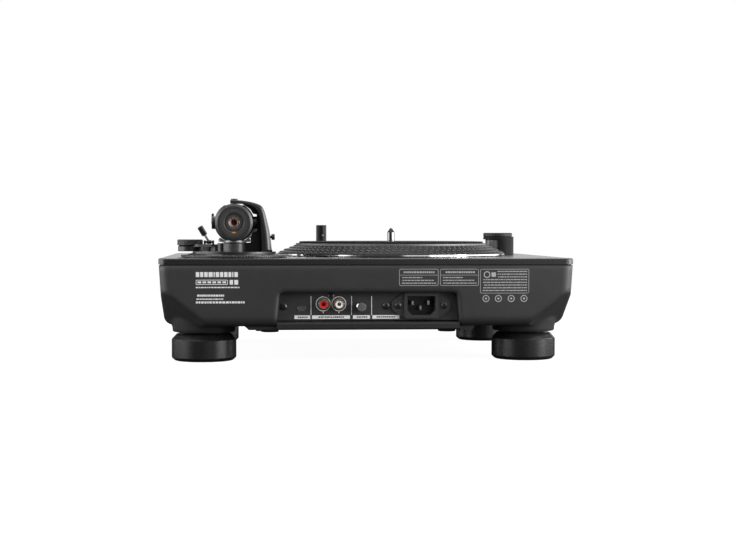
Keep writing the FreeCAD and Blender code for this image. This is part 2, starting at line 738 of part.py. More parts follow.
def make_height_ring():
    """Knurled ring that raises and lowers the arm base."""
    bore = SLEEVE_R + SLEEVE_T + RUN_GAP
    profile = [
        (bore, RING_Z0), (RING_R - 0.4, RING_Z0), (RING_R, RING_Z0 + 0.3), (RING_R, 91.7),
        (RING_R - 0.5, 92.1), (41.0, 92.2), (40.0, RING_Z1), (bore, RING_Z1),
    ]
    body = turned(profile, PIVOT_X, PIVOT_Y)
    count = 120
    teeth = []
    for index in range(count):
        x, y = on_circle(PIVOT_X, PIVOT_Y, RING_R + 0.35, 360.0 * index / count)
        teeth.append(disc(x, y, 0.75, RING_Z0 - 1, 91.8))
    return cut_all(body, *teeth)


def make_arm_base():
    """Round base of the tonearm: top flange with a skirt that slides in the guide sleeve."""
    flange = disc(PIVOT_X, PIVOT_Y, FLANGE_R, FLANGE_Z0, FLANGE_Z1)
    skirt = ring(PIVOT_X, PIVOT_Y, SLEEVE_R - RUN_GAP, SLEEVE_R - SLEEVE_T, 76.0, FLANGE_Z0)
    side_post = disc(PIVOT_X + 10.9, PIVOT_Y - 10.5, 4.2, FLANGE_Z1, POST_TOP - 0.4)
    base = fused(flange, skirt, side_post.makeFillet(0.5, edges_at_z(side_post, POST_TOP - 0.4)))
    lift_hole = disc(PIVOT_X, LIFT_STEM_Y, LIFT_STEM_R + RUN_GAP, 70.0, FLANGE_Z1 + 1)
    wire_hole = disc(PIVOT_X, PIVOT_Y, 6.0, 70.0, FLANGE_Z1 + 1)
    return cut_all(base, lift_hole, wire_hole)


def make_arm_post():
    """Turned post that carries the lower swing bearing."""
    bore = POST_BORE_R + RUN_GAP
    profile = [
        (bore, FLANGE_Z1), (9.85, FLANGE_Z1), (9.85, POST_TOP - 0.7), (9.2, POST_TOP), (bore, POST_TOP),
    ]
    return turned(profile, PIVOT_X, PIVOT_Y)


def arch_outline():
    """Outer edge of the arch, from its foot to over the top pivot."""
    return [
        (82.3, FLANGE_Z1), (83.6, 108.0), (84.9, 115.6), (87.2, 125.1), (89.2, 131.6), (91.4, 135.0),
        (95.5, 137.2), (102.0, 138.9), (110.0, 140.0), (118.8, ARCH_TOP),
    ]


def arch_band(inner, y0, y1):
    """Part of the arch between its outer edge and an inner edge, with the outer edge smooth."""
    points = [V(x, y0, z) for x, z in arch_outline()]
    curve = Part.BSplineCurve()
    curve.interpolate(points)
    inside = [V(x, y0, z) for x, z in inner]
    edges = [curve.toShape()]
    for first, second in zip([points[-1]] + inside, inside + [points[0]]):
        edges.append(Part.LineSegment(first, second).toShape())
    return Part.Face(Part.Wire(edges)).extrude(V(0, y1 - y0, 0))


def make_arm_arch():
    """Cast arch beside the gimbal that reaches over it to the top pivot."""
    web = arch_band([
        (118.8, 137.4), (108.5, 137.2), (103.6, 134.2), (101.0, 132.0), (98.9, 128.6), (95.6, 127.8),
        (95.4, 113.0), (99.2, 112.0), (101.0, 107.0), (101.0, 102.8), (107.4, 102.5),
        (107.4, FLANGE_Z1),
    ], PIVOT_Y + WEB_Y0, PIVOT_Y + WEB_Y1)
    rim = arch_band([
        (118.8, 137.4), (108.5, 137.2), (101.0, 136.0), (96.6, 133.6), (93.8, 129.4), (92.2, 123.0),
        (91.6, 112.0), (91.2, 103.0), (91.0, FLANGE_Z1),
    ], PIVOT_Y + WEB_Y0, PIVOT_Y + 11)
    rear_edges = [e for e in rim.Edges if e.BoundBox.YMin > PIVOT_Y + 10.9 and e.Length > 40]
    rim = rim.makeFillet(ARCH_ROUND_FOOT, ARCH_ROUND_TOP, rear_edges)
    foot = box(81.9, 91.0, PIVOT_Y + WEB_Y0, PIVOT_Y + 12, FLANGE_Z1, FLANGE_Z1 + 1.6)
    boss = disc(PIVOT_X, PIVOT_Y, 3.6, 137.3, ARCH_TOP)
    hole = disc(PIVOT_X, PIVOT_Y, TOP_SCREW_R, 130.0, 142.0)
    knob_hole = cross_rod(PIVOT_Y + 1, KNOB_Z, KNOB_STEM_R + RUN_GAP, 80.0, 87.0)
    return cut_all(fused(web, rim, foot, boss), hole, knob_hole)


def make_arch_knob():
    """Small lock knob on the outer side of the arch."""
    stem = cross_rod(PIVOT_Y + 1, KNOB_Z, KNOB_STEM_R, 80.5, 86.5)
    head = cross_rod(PIVOT_Y + 1, KNOB_Z, 2.6, 79.6, 82.6)
    head = head.makeFillet(0.6, [e for e in head.Edges if e.BoundBox.XLength < 0.01])
    slot = box(79.0, 80.2, PIVOT_Y + 0.7, PIVOT_Y + 1.3, KNOB_Z - 3, KNOB_Z + 3)
    return fused(head, stem).cut(slot)


def make_top_pivot_screw():
    """Screw through the arch whose point is the upper swing bearing."""
    profile = [
        (0, 134.4), (TOP_SCREW_R, 134.4), (TOP_SCREW_R, ARCH_TOP), (3.1, ARCH_TOP), (3.1, ARCH_TOP + 0.8),
        (2.7, ARCH_TOP + 1.2), (0, ARCH_TOP + 1.2),
    ]
    screw = turned(profile, PIVOT_X, PIVOT_Y)
    return screw.cut(box(PIVOT_X - 4, PIVOT_X + 4, PIVOT_Y - 0.4, PIVOT_Y + 0.4, 141.0, 142.0))


def make_cue_bracket():
    """Bracket on the base flange: cue lever bearing and the anti-skate drum."""
    plate = slab([
        (122.0, 72.0), (131.0, 55.5), (146.0, 52.0), (SKATE_X, 52.0), (SKATE_X, 68.0), (148.0, 73.0),
        (136.0, 78.5), (128.0, 80.0),
    ], BRACKET_Z0, BRACKET_Z1)
    foot_outline = [(123.0, 71.5), (130.0, 67.0), (136.9, 68.2), (136.9, 73.5), (133.0, 78.0), (128.0, 79.0)]
    foot = slab(foot_outline, FLANGE_Z1, BRACKET_Z0)
    drum = turned([
        (0, 94.6), (10.6, 94.6), (10.9, 95.0), (10.9, 98.9), (10.2, 99.6), (0, 99.6),
    ], SKATE_X, SKATE_Y)
    pillar = disc(138.4, 65.5, 1.6, 94.0, BRACKET_Z0)
    ears = []
    for side in (-1, 1):
        x = LEVER_X + side * 3.8
        ears.append(box(x - 0.9, x + 0.9, LEVER_Y - 1.8, LEVER_Y + 1.8, BRACKET_Z1, LEVER_Z + 1.5))
    pivot_stub = disc(SKATE_X, SKATE_Y, SKATE_STUB_R, 99.6, 103.0)
    plate = plate.cut(disc(SKATE_X, SKATE_Y, SKATE_R + 0.5, 99.6, BRACKET_Z1 + 1))
    bracket = fused(plate, foot, drum, pillar, pivot_stub, *ears)
    lever_hole = cross_rod(LEVER_Y, LEVER_Z, LEVER_PIN_R + RUN_GAP, LEVER_X - 6, LEVER_X + 6)
    return bracket.cut(lever_hole)


def make_anti_skate_knob():
    """Round knob with a grooved edge that turns on the bracket's drum."""
    z0, z1 = 100.0, 105.3
    bore = SKATE_STUB_R + RUN_GAP
    profile = [
        (bore, z0), (SKATE_R - 0.5, z0), (SKATE_R, z0 + 0.5), (SKATE_R, z1 - 0.7), (SKATE_R - 0.7, z1),
        (0, z1), (0, 103.4), (bore, 103.4),
    ]
    knob = turned(profile, SKATE_X, SKATE_Y)
    count = 48
    grooves = []
    for index in range(count):
        x, y = on_circle(SKATE_X, SKATE_Y, SKATE_R + 0.25, 360.0 * index / count)
        grooves.append(disc(x, y, 0.5, z0 + 0.9, z1 - 0.9))
    return cut_all(knob, *grooves)


def make_cue_lever():
    """Cue lever: cross pin, thin shaft and a capsule grip."""
    foot = V(LEVER_X, LEVER_Y, LEVER_Z)
    tip = V(LEVER_TIP_X, LEVER_Y, LEVER_TIP_Z)
    along = (tip - foot).normalize()
    reach = (tip - foot).Length
    shaft = Part.makeCylinder(LEVER_PIN_R, reach - 3, foot, along)
    grip_start = foot + along * (reach - 11.2)
    grip = Part.makeCylinder(2.6, 9.4, grip_start, along)
    ends = [e for e in grip.Edges if e.Closed and e.Length > 10]
    grip = grip.makeFillet(1.2, ends)
    hub = cross_rod(LEVER_Y, LEVER_Z, 1.8, LEVER_X - 2.2, LEVER_X + 2.2)
    pin = cross_rod(LEVER_Y, LEVER_Z, LEVER_PIN_R, LEVER_X - 4.7, LEVER_X + 4.7)
    return fused(shaft, grip, hub, pin)


def make_lift_bar():
    """Curved bar that lifts the tube, on a rod that slides in the base."""
    top = 110.4
    bar = ring(PIVOT_X, PIVOT_Y, LIFT_RADIUS + 2.2, LIFT_RADIUS - 2.2, top - 2.2, top)
    ends = [on_circle(PIVOT_X, PIVOT_Y, 60.0, angle) for angle in (-78.0, -110.0, -142.0)]
    wedge = slab([(PIVOT_X, PIVOT_Y)] + ends, top - 3, top + 1)
    arm = box(PIVOT_X - 2, PIVOT_X + 2, LIFT_STEM_Y - 5, LIFT_STEM_Y, top - 2.2, top)
    stem = disc(PIVOT_X, LIFT_STEM_Y, LIFT_STEM_R, 82.0, top)
    return fused(bar.common(wedge), arm, stem)


def make_arm_rest():
    """Post on the deck with a saddle that is open towards the platter."""
    post = turned([
        (0, PLATE_Z), (REST_STUD_R, PLATE_Z), (REST_STUD_R, DECK_Z), (6.0, DECK_Z), (6.0, DECK_Z + 2),
        (4.0, DECK_Z + 3.4), (4.0, 111.0), (0, 111.0),
    ], REST_X, REST_Y)
    saddle = plate_xz([
        (113.6, 115.2), (113.6, 111.8), (115.0, 110.6), (126.6, 110.6), (CLAMP_X, 113.6), (CLAMP_X, 116.7),
        (124.9, 117.6), (124.2, 115.2),
    ], REST_Y - 4, REST_Y + 4)
    ears = []
    for side in (-1, 1):
        y = REST_Y + side * 3.2
        ears.append(box(CLAMP_X - CLAMP_EAR_X, CLAMP_X + CLAMP_EAR_X, y - 0.8, y + 0.8, 115.0, CLAMP_Z + 1.8))
    hole = rod(CLAMP_X, CLAMP_Z, CLAMP_PIN_R + RUN_GAP, REST_Y - 6, REST_Y + 6)
    return fused(post, saddle, *ears).cut(hole)


def make_arm_clamp():
    """Hook that swings over the tube to lock the arm; drawn open."""
    hook = plate_xz([
        (CLAMP_X - 1.4, CLAMP_Z - 1.2), (CLAMP_X + 1.2, CLAMP_Z - 1.4), (CLAMP_X + 7.6, CLAMP_Z - 1.0),
        (CLAMP_X + 8.8, CLAMP_Z + 1.0), (CLAMP_X + 8.4, CLAMP_Z + 10.2), (CLAMP_X + 6.4, CLAMP_Z + 10.2),
        (CLAMP_X + 6.0, CLAMP_Z + 1.6), (CLAMP_X - 0.2, CLAMP_Z + 1.4),
    ], REST_Y - 2.1, REST_Y + 2.1)
    pin = rod(CLAMP_X, CLAMP_Z, CLAMP_PIN_R, REST_Y - 4.2, REST_Y + 4.2)
    return fused(hook, pin)


# ----------------------------------------------------------------------------
# Moving part of the tonearm
# ----------------------------------------------------------------------------

RING_HALF_Y = 5.0
GIMBAL_R = 17.6
GIMBAL_HALF_Z = 15.4
GIMBAL_BORE_R = 12.5
BOSS_OUT_X = 20.0
BOSS_OUT_R = 5.6
TRUNNION_R = 2.0


def make_gimbal_ring():
    """Ring that swings about the vertical and carries the tilt bearings; flat above and below."""
    body = rod(PIVOT_X, ARM_Z, GIMBAL_R, PIVOT_Y - RING_HALF_Y, PIVOT_Y + RING_HALF_Y)
    body = body.makeChamfer(0.9, [e for e in body.Edges if e.Closed and e.BoundBox.YLength < 0.01])
    low, high = ARM_Z - GIMBAL_HALF_Z, ARM_Z + GIMBAL_HALF_Z
    body = body.common(box(PIVOT_X - 30, PIVOT_X + 30, PIVOT_Y - 9, PIVOT_Y + 9, low, high))
    bosses = cross_rod(PIVOT_Y, ARM_Z, BOSS_OUT_R, PIVOT_X - BOSS_OUT_X, PIVOT_X + BOSS_OUT_X)
    bosses = bosses.makeFillet(0.7, [e for e in bosses.Edges if e.BoundBox.XLength < 0.01])
    opening = rod(PIVOT_X, ARM_Z, GIMBAL_BORE_R, PIVOT_Y - 10, PIVOT_Y + 10)
    trunnions = cross_rod(PIVOT_Y, ARM_Z, TRUNNION_R + RUN_GAP, PIVOT_X - 17.2, PIVOT_X + 17.2)
    top_bore = disc(PIVOT_X, PIVOT_Y, TOP_SCREW_R + RUN_GAP, 134.0, 137.0)
    slots = []
    for side in (-1, 1):
        x = PIVOT_X + side * BOSS_OUT_X
        slots.append(box(x - 0.6, x + 0.6, PIVOT_Y - 0.5, PIVOT_Y + 0.5, ARM_Z - 3, ARM_Z + 3))
    return cut_all(fused(body, bosses), opening, trunnions, top_bore, *slots)


def make_gimbal_collar():
    """Plated collar under the ring, its clamp bar with two screws, and the lower swing pin."""
    top = ARM_Z - GIMBAL_HALF_Z
    profile = [
        (0, 96.0), (POST_BORE_R, 96.0), (POST_BORE_R, 103.2), (8.6, 103.2), (9.0, 103.6), (9.0, 104.6),
        (8.6, top), (0, top),
    ]
    bar = box(PIVOT_X - 12.4, PIVOT_X + 12.4, PIVOT_Y - 3.0, PIVOT_Y + 3.0, 103.6, top)
    heads = [disc(PIVOT_X + side * 12.4, PIVOT_Y, 1.8, 103.4, 105.8) for side in (-1, 1)]
    return fused(turned(profile, PIVOT_X, PIVOT_Y), bar, *heads)


def make_pivot_block():
    """Round block in the middle of the gimbal: tilt trunnions, tube socket and rear socket."""
    profile = [
        (0, PIVOT_Y - 9), (6.4, PIVOT_Y - 9), (9.6, PIVOT_Y - 6.5), (9.6, PIVOT_Y + 6.5), (8.4, PIVOT_Y + 8),
        (0, PIVOT_Y + 8),
    ]
    body = turned_y(profile, PIVOT_X, ARM_Z)
    pins = cross_rod(PIVOT_Y, ARM_Z, TRUNNION_R, PIVOT_X - 16.9, PIVOT_X + 16.9)
    socket = rod(PIVOT_X, ARM_Z, TUBE_R, PIVOT_Y - 10, PIVOT_Y - 5)
    return fused(body, pins).cut(socket)


def arm_path():
    """Corner points of the tube's centre line, from the pivot block to the head."""
    bend, end, outward = 108.0, 149.0, 15.0
    inward = (end - bend) * math.tan(math.radians(HEAD_ANGLE))
    reach = ((5.0, 0.0), (38.0, 0.0), (bend, outward), (end, outward - inward))
    return [V(PIVOT_X + out, PIVOT_Y - along, ARM_Z) for along, out in reach]


def head_frame():
    """End of the tube and its direction."""
    points = arm_path()
    return points[-1], (points[-1] - points[-2]).normalize()


def smooth_path(points, radii):
    """Straight runs joined by tangent arcs."""
    edges = []
    start = points[0]
    for index, radius in enumerate(radii, start=1):
        corner = points[index]
        before = (points[index - 1] - corner).normalize()
        after = (points[index + 1] - corner).normalize()
        half = before.getAngle(after) / 2
        back = radius / math.tan(half)
        first = corner + before * back
        last = corner + after * back
        bisector = (before + after).normalize()
        centre = corner + bisector * (radius / math.sin(half))
        middle = centre - bisector * radius
        edges.append(Part.LineSegment(start, first).toShape())
        edges.append(Part.Arc(first, middle, last).toShape())
        start = last
    edges.append(Part.LineSegment(start, points[-1]).toShape())
    return Part.Wire(edges)


def make_arm_tube():
    """S-shaped tube, bored through for the signal wires."""
    path = smooth_path(arm_path(), (90.0, 45.0))
    shapes = []
    for radius in (TUBE_R, TUBE_R - 0.9):
        profile = Part.Wire([Part.makeCircle(radius, arm_path()[0], V(0, -1, 0))])
        shapes.append(path.makePipeShell([profile], True, False))
    return shapes[0].cut(shapes[1])


def along_head(shape):
    """Turn a piece drawn along -Y from the origin into line with the tube's end."""
    end, _ = head_frame()
    shape = shape.copy()
    shape.rotate(V(0, 0, 0), V(0, 0, 1), -HEAD_ANGLE)
    shape.translate(V(end.x, end.y, 0))
    return shape


def make_shell_collar():
    """Knurled locking collar at the end of the tube."""
    bore = TUBE_R + RUN_GAP
    profile = [(bore, 5.0), (6.0, 5.0), (6.6, 4.4), (6.6, -4.1), (6.0, -4.7), (bore, -4.7)]
    collar = turned_y(profile, 0, ARM_Z)
    count = 24
    grooves = []
    for index in range(count):
        x, z = on_circle(0, ARM_Z, 6.8, 360.0 * index / count)
        grooves.append(rod(x, z, 0.45, -3.0, 3.4))
    return along_head(cut_all(collar, *grooves))


def make_head_shell():
    """Head shell: round plug, flat carrier with slots and a finger lift."""
    z1 = ARM_Z + 1.5
    plug = rod(0, ARM_Z, TUBE_R, -9.0, 0.0)
    carrier = slab([
        (-5.5, -6.0), (5.5, -6.0), (8.4, -16.0), (8.4, -50.0), (6.6, -55.0), (-6.6, -55.0), (-8.4, -50.0),
        (-8.4, -16.0),
    ], z1 - 3.0, z1)
    lift = slab([(8.0, -38.0), (19.0, -44.0), (20.5, -47.5), (17.5, -47.8), (8.0, -43.0)], z1 - 1.6, z1 - 0.2)
    slots = [box(s * 6.35 - 1.3, s * 6.35 + 1.3, -44.0, -30.0, z1 - 4, z1 + 1) for s in (-1, 1)]
    shell = fused(plug, carrier, lift)
    return along_head(cut_all(shell, *slots))


def make_cartridge():
    """Pick-up body bolted under the head shell."""
    top = ARM_Z - 1.5
    body = box(-8.0, 8.0, -46.0, -24.0, top - 4.0, top)
    wedge = [(-6.0, top - 4.0), (6.0, top - 4.0), (5.0, top - 11.0), (-5.0, top - 11.0)]
    lower = plate_xz(wedge, -47.5, -28.0)
    pins = [rod(s * 2.4, top - 2.6, 0.6, -24.0, -19.0) for s in (-1, 1)]
    screws = [disc(s * 6.35, -36.0, 1.25, top, top + 4.2) for s in (-1, 1)]
    return along_head(fused(body, lower, *pins, *screws))


def make_stylus():
    """Replaceable stylus: plastic grip with the cantilever and tip under it."""
    top = ARM_Z - 12.5
    grip = box(-4.6, 4.6, -51.0, -30.0, top - 2.2, top)
    nose = [e for e in grip.Edges if e.BoundBox.YMax < -50.9 and e.BoundBox.XLength > 5]
    grip = grip.makeChamfer(0.9, nose)
    tip = Part.makeCone(0.3, 0.9, top - 2.2 - STYLUS_Z, V(0, -44.6, STYLUS_Z))
    return along_head(fused(grip, tip))


def make_counterweight_shaft():
    """Hollow rear shaft that carries the counterweight."""
    y0 = PIVOT_Y + 8
    profile = [
        (0, y0), (SHAFT_R, y0), (SHAFT_R, COUNTERWEIGHT_Y1 - 2.0), (SHAFT_R - 0.5, COUNTERWEIGHT_Y1 - 1.4),
        (5.2, COUNTERWEIGHT_Y1 - 1.4), (5.2, COUNTERWEIGHT_Y1 - 9.0), (0, COUNTERWEIGHT_Y1 - 9.0),
    ]
    return turned_y(profile, PIVOT_X, ARM_Z)


def make_counterweight():
    """Round balance weight with a stepped rear face."""
    bore = SHAFT_R + RUN_GAP
    front, back = COUNTERWEIGHT_Y0 + 4.4, COUNTERWEIGHT_Y1
    rim = COUNTERWEIGHT_R
    profile = [
        (bore, front), (rim - 0.6, front), (rim, front + 0.6), (rim, back - 1.8), (rim - 1.8, back - 0.3),
        (13.9, back - 0.1), (13.8, back - 0.9), (13.3, back - 0.9), (13.2, back), (8.9, back),
        (8.2, back - 0.8), (bore, back - 0.8),
    ]
    return turned_y(profile, PIVOT_X, ARM_Z)


def make_weight_dial():
    """Stylus-force dial in front of the counterweight."""
    bore = SHAFT_R + RUN_GAP
    front = COUNTERWEIGHT_Y0
    profile = [
        (bore, front), (12.2, front), (13.0, front + 0.6), (13.0, front + 4.0), (bore, front + 4.0),
    ]
    dial = turned_y(profile, PIVOT_X, ARM_Z)
    count = 40
    grooves = []
    for index in range(count):
        x, z = on_circle(PIVOT_X, ARM_Z, 13.2, 360.0 * index / count)
        grooves.append(rod(x, z, 0.4, front + 0.8, front + 3.4))
    return cut_all(dial, *grooves)


# ----------------------------------------------------------------------------
# Tower, target light and controls
# ----------------------------------------------------------------------------

TOWER_TOP = DIAL_TOP - DIAL_H - 0.2
DIAL_STUB_R = 4.0
WINDOW_HALF_ANGLE = 52.0
WINDOW_TURN = 29.0
WINDOW_Z0 = DECK_Z + 2.5
HOOD_Z = 104.9
WINDOW_Z1 = HOOD_Z - 0.6


def window_sector(z0, z1):
    """Wedge of the tower that faces the platter."""
    points = [on_circle(TOWER_X, TOWER_Y, 4.0, WINDOW_TURN)]
    for spread in (-WINDOW_HALF_ANGLE, 0.0, WINDOW_HALF_ANGLE):
        points.append(on_circle(TOWER_X, TOWER_Y, 40.0, WINDOW_TURN + spread))
    return slab(points, z0, z1)


def make_strobe_tower():
    """Column beside the platter with a spigot through the plate and a stub for the cap."""
    column = disc(TOWER_X, TOWER_Y, TOWER_R, DECK_Z, TOWER_TOP)
    column = column.cut(window_sector(WINDOW_Z0, WINDOW_Z1))
    hood = disc(DIAL_X, TOWER_Y, DIAL_R, HOOD_Z, TOWER_TOP)
    spigot = disc(TOWER_X, TOWER_Y, SPIGOT_R, PLATE_Z - 6, DECK_Z)
    stub = disc(DIAL_X, TOWER_Y, DIAL_STUB_R, TOWER_TOP, TOWER_TOP + 2.2)
    return fused(column, hood, spigot, stub)


def make_strobe_window():
    """Clear lens that fills the cut in the column, behind it the strobe lamp."""
    lens = disc(TOWER_X, TOWER_Y, TOWER_R - 0.4, WINDOW_Z0, WINDOW_Z1)
    return lens.common(window_sector(WINDOW_Z0, WINDOW_Z1))


def make_power_dial():
    """Turning cap of the tower: the power switch."""
    z0 = DIAL_TOP - DIAL_H
    bore = DIAL_STUB_R + RUN_GAP
    profile = [
        (bore, z0), (DIAL_R - 0.3, z0), (DIAL_R, z0 + 0.3), (DIAL_R, DIAL_TOP - 0.6),
        (DIAL_R - 0.6, DIAL_TOP), (0, DIAL_TOP), (0, z0 + 2.1), (bore, z0 + 2.1),
    ]
    cap = turned(profile, DIAL_X, TOWER_Y)
    edge = DIAL_X - DIAL_R
    notch = box(edge - 1, edge + 1.4, TOWER_Y - 1.4, TOWER_Y + 1.4, DIAL_TOP - 2.2, DIAL_TOP + 1)
    return cap.cut(notch)


def make_target_light():
    """Pop-up light: a round tube with a small lens pocket near its foot."""
    bottom = 84.8
    tube = disc(LIGHT_X, LIGHT_Y, LIGHT_R, bottom, LIGHT_TOP)
    tube = tube.makeFillet(0.6, edges_at_z(tube, LIGHT_TOP))
    shoulder = disc(LIGHT_X, LIGHT_Y, LIGHT_R + 1.5, bottom - 3.0, bottom - 0.4)
    neck = disc(LIGHT_X, LIGHT_Y, LIGHT_R, bottom - 3.0, bottom)
    aim = V(-0.34, 0.94, 0.0)
    pocket = Part.makeCylinder(1.7, 6, V(LIGHT_X, LIGHT_Y, 108.6) + aim * (LIGHT_R - 1.2), aim)
    return fused(tube, shoulder, neck).cut(pocket)


def button_sites():
    """Centre and half sizes of the push buttons: x, half_x, y, half_y."""
    return {
        "start_stop_button": (START_X, 16.0, START_Y, 11.0),
        "speed_button_33": (START_X + 28.0, 7.0, START_Y - 7.0, 4.0),
        "speed_button_45": (START_X + 45.0, 7.0, START_Y - 7.0, 4.0),
    }


def make_button(name):
    """Square push button that stands a little proud of the deck, with a retaining skirt."""
    x, half_x, y, half_y = button_sites()[name]
    cap = box(x - half_x, x + half_x, y - half_y, y + half_y, PLATE_Z - 2, DECK_Z + 2.0)
    upright = [e for e in cap.Edges if e.BoundBox.ZLength > 1]
    cap = cap.makeFillet(1.0, upright)
    cap = cap.makeFillet(0.5, edges_at_z(cap, DECK_Z + 2.0))
    wide, deep = half_x + BUTTON_SKIRT, half_y + BUTTON_SKIRT
    skirt = box(x - wide, x + wide, y - deep, y + deep, PLATE_Z - 3.4, PLATE_Z - 2)
    return fused(cap, skirt)


def fader_block(width, length, z0, z1):
    """Block centred on the fader."""
    return box(FADER_X - width / 2, FADER_X + width / 2, FADER_Y - length / 2, FADER_Y + length / 2, z0, z1)


def make_fader_track():
    """Pitch fader: face plate on the deck and the slide unit under it."""
    face = fader_block(FADER_W, FADER_LEN, DECK_Z, DECK_Z + 0.8)
    upright = [e for e in face.Edges if e.BoundBox.ZLength > 0.5 and e.BoundBox.XLength < 0.01]
    face = face.makeFillet(2.0, upright)
    unit = fader_block(FADER_UNIT_W, FADER_UNIT_LEN, 74.0, DECK_Z)
    slot = fader_block(3.2, FADER_SLOT_LEN, 76.0, DECK_Z + 2)
    return fused(face, unit).cut(slot)


def make_fader_cap():
    """Fader knob with a finger dip and a stem into the slot."""
    z0, z1 = DECK_Z + 1.4, DECK_Z + 8.4
    side = [
        (-9.0, z0), (9.0, z0), (7.4, z1), (2.4, z1 - 1.9), (-2.4, z1 - 1.9), (-7.4, z1),
    ]
    face = Part.Face(Part.makePolygon([V(FADER_X - 6.5, FADER_Y + y, z) for y, z in side + side[:1]]))
    knob = face.extrude(V(13.0, 0, 0))
    stem = fader_block(2.4, 6.0, 78.0, z0)
    return fused(knob, stem)


# ----------------------------------------------------------------------------
# Nodes
# ----------------------------------------------------------------------------

def all_nodes():
    nodes = {
        "top_plate": make_top_plate(),
        "plinth_shell": make_plinth_shell(),
        "bottom_tray": make_bottom_tray(),
        "tray_screws": make_tray_screws(),
        "tray_pads": make_tray_pads(),
        "connector_panel": make_connector_panel(),
        "panel_screws": make_panel_screws(),
        "rca_shells": make_rca_shells(),
        "rca_insulator_red": make_rca_insulator("red"),
        "rca_insulator_white": make_rca_insulator("white"),
        "service_port": make_service_port(),
        "ground_stud": make_ground_stud(),
        "ground_nut": make_ground_nut(),
        "inlet_housing": make_inlet_housing(),
        "inlet_pins": make_inlet_pins(),
        "main_board": make_main_board(),
        "power_supply": make_power_supply(),
        "bearing_housing": make_bearing_housing(),
        "motor_stator": make_motor_stator(),
        "rotor_magnet": make_rotor_magnet(),
        "spindle": make_spindle(),
        "platter": make_platter(),
        "slipmat": make_slipmat(),
        "arm_sleeve": make_arm_sleeve(),
        "height_ring": make_height_ring(),
        "arm_base": make_arm_base(),
        "arm_post": make_arm_post(),
        "arm_arch": make_arm_arch(),
        "arch_knob": make_arch_knob(),
        "top_pivot_screw": make_top_pivot_screw(),
        "cue_bracket": make_cue_bracket(),
        "anti_skate_knob": make_anti_skate_knob(),
        "cue_lever": make_cue_lever(),
        "lift_bar": make_lift_bar(),
        "arm_rest": make_arm_rest(),
        "arm_clamp": make_arm_clamp(),
        "gimbal_ring": make_gimbal_ring(),
        "gimbal_collar": make_gimbal_collar(),
        "pivot_block": make_pivot_block(),
        "arm_tube": make_arm_tube(),
        "shell_collar": make_shell_collar(),
        "head_shell": make_head_shell(),
        "cartridge": make_cartridge(),
        "stylus": make_stylus(),
        "counterweight_shaft": make_counterweight_shaft(),
        "counterweight": make_counterweight(),
        "weight_dial": make_weight_dial(),
        "strobe_tower": make_strobe_tower(),
        "strobe_window": make_strobe_window(),
        "power_dial": make_power_dial(),
        "target_light": make_target_light(),
        "fader_track": make_fader_track(),
        "fader_cap": make_fader_cap(),
    }
    for name in button_sites():
        nodes[name] = make_button(name)
    for corner, (sx, sy) in FOOT_CORNERS.items():
        nodes["foot_" + corner] = make_foot(sx, sy)
    return nodes


def main():
    os.makedirs("parts", exist_ok=True)
    for name, shape in all_nodes().items():
        shape.exportStep("parts/" + name + ".step")
        print(name, "valid", shape.isValid(), "solids", len(shape.Solids), "volume", round(shape.Volume))


main()
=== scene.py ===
import json
import math
import random

import bmesh
import bpy
from mathutils import Matrix, Vector
from mathutils.bvhtree import BVHTree


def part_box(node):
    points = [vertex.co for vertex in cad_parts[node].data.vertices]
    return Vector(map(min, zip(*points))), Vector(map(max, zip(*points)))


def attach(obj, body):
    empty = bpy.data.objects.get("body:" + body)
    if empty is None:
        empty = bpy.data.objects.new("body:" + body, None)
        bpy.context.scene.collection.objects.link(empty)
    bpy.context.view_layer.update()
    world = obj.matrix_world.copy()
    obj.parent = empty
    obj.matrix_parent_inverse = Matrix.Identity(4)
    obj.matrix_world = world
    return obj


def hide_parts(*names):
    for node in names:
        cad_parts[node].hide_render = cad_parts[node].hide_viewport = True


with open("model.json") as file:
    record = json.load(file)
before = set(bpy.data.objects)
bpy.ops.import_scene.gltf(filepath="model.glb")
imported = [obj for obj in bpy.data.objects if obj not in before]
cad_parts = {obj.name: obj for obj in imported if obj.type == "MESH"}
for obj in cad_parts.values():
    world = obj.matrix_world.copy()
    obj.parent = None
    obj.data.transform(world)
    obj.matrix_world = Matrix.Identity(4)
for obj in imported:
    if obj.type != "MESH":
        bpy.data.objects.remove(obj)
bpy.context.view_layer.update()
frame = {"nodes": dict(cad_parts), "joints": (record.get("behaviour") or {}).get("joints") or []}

# ----------------------------------------------------------------------------
# Places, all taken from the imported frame. Metres; MM turns millimetres into metres.
# ----------------------------------------------------------------------------

MM = 0.001
NODES = frame["nodes"]
JOINTS = {joint["name"]: joint for joint in frame["joints"]}


def joint_point(name):
    return Vector(JOINTS[name]["pos_m"])


def middle(node):
    low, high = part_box(node)
    return (low + high) / 2


DECK_LOW, DECK_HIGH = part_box("top_plate")
REAR_Y = DECK_HIGH.y
SPINDLE = joint_point("platter_spin")
PIVOT = joint_point("arm_swing")
SKATE = joint_point("anti_skate_turn")
PLATTER_LOW, PLATTER_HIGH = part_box("platter")
FADER = middle("fader_track")


# ----------------------------------------------------------------------------
# Materials
# ----------------------------------------------------------------------------

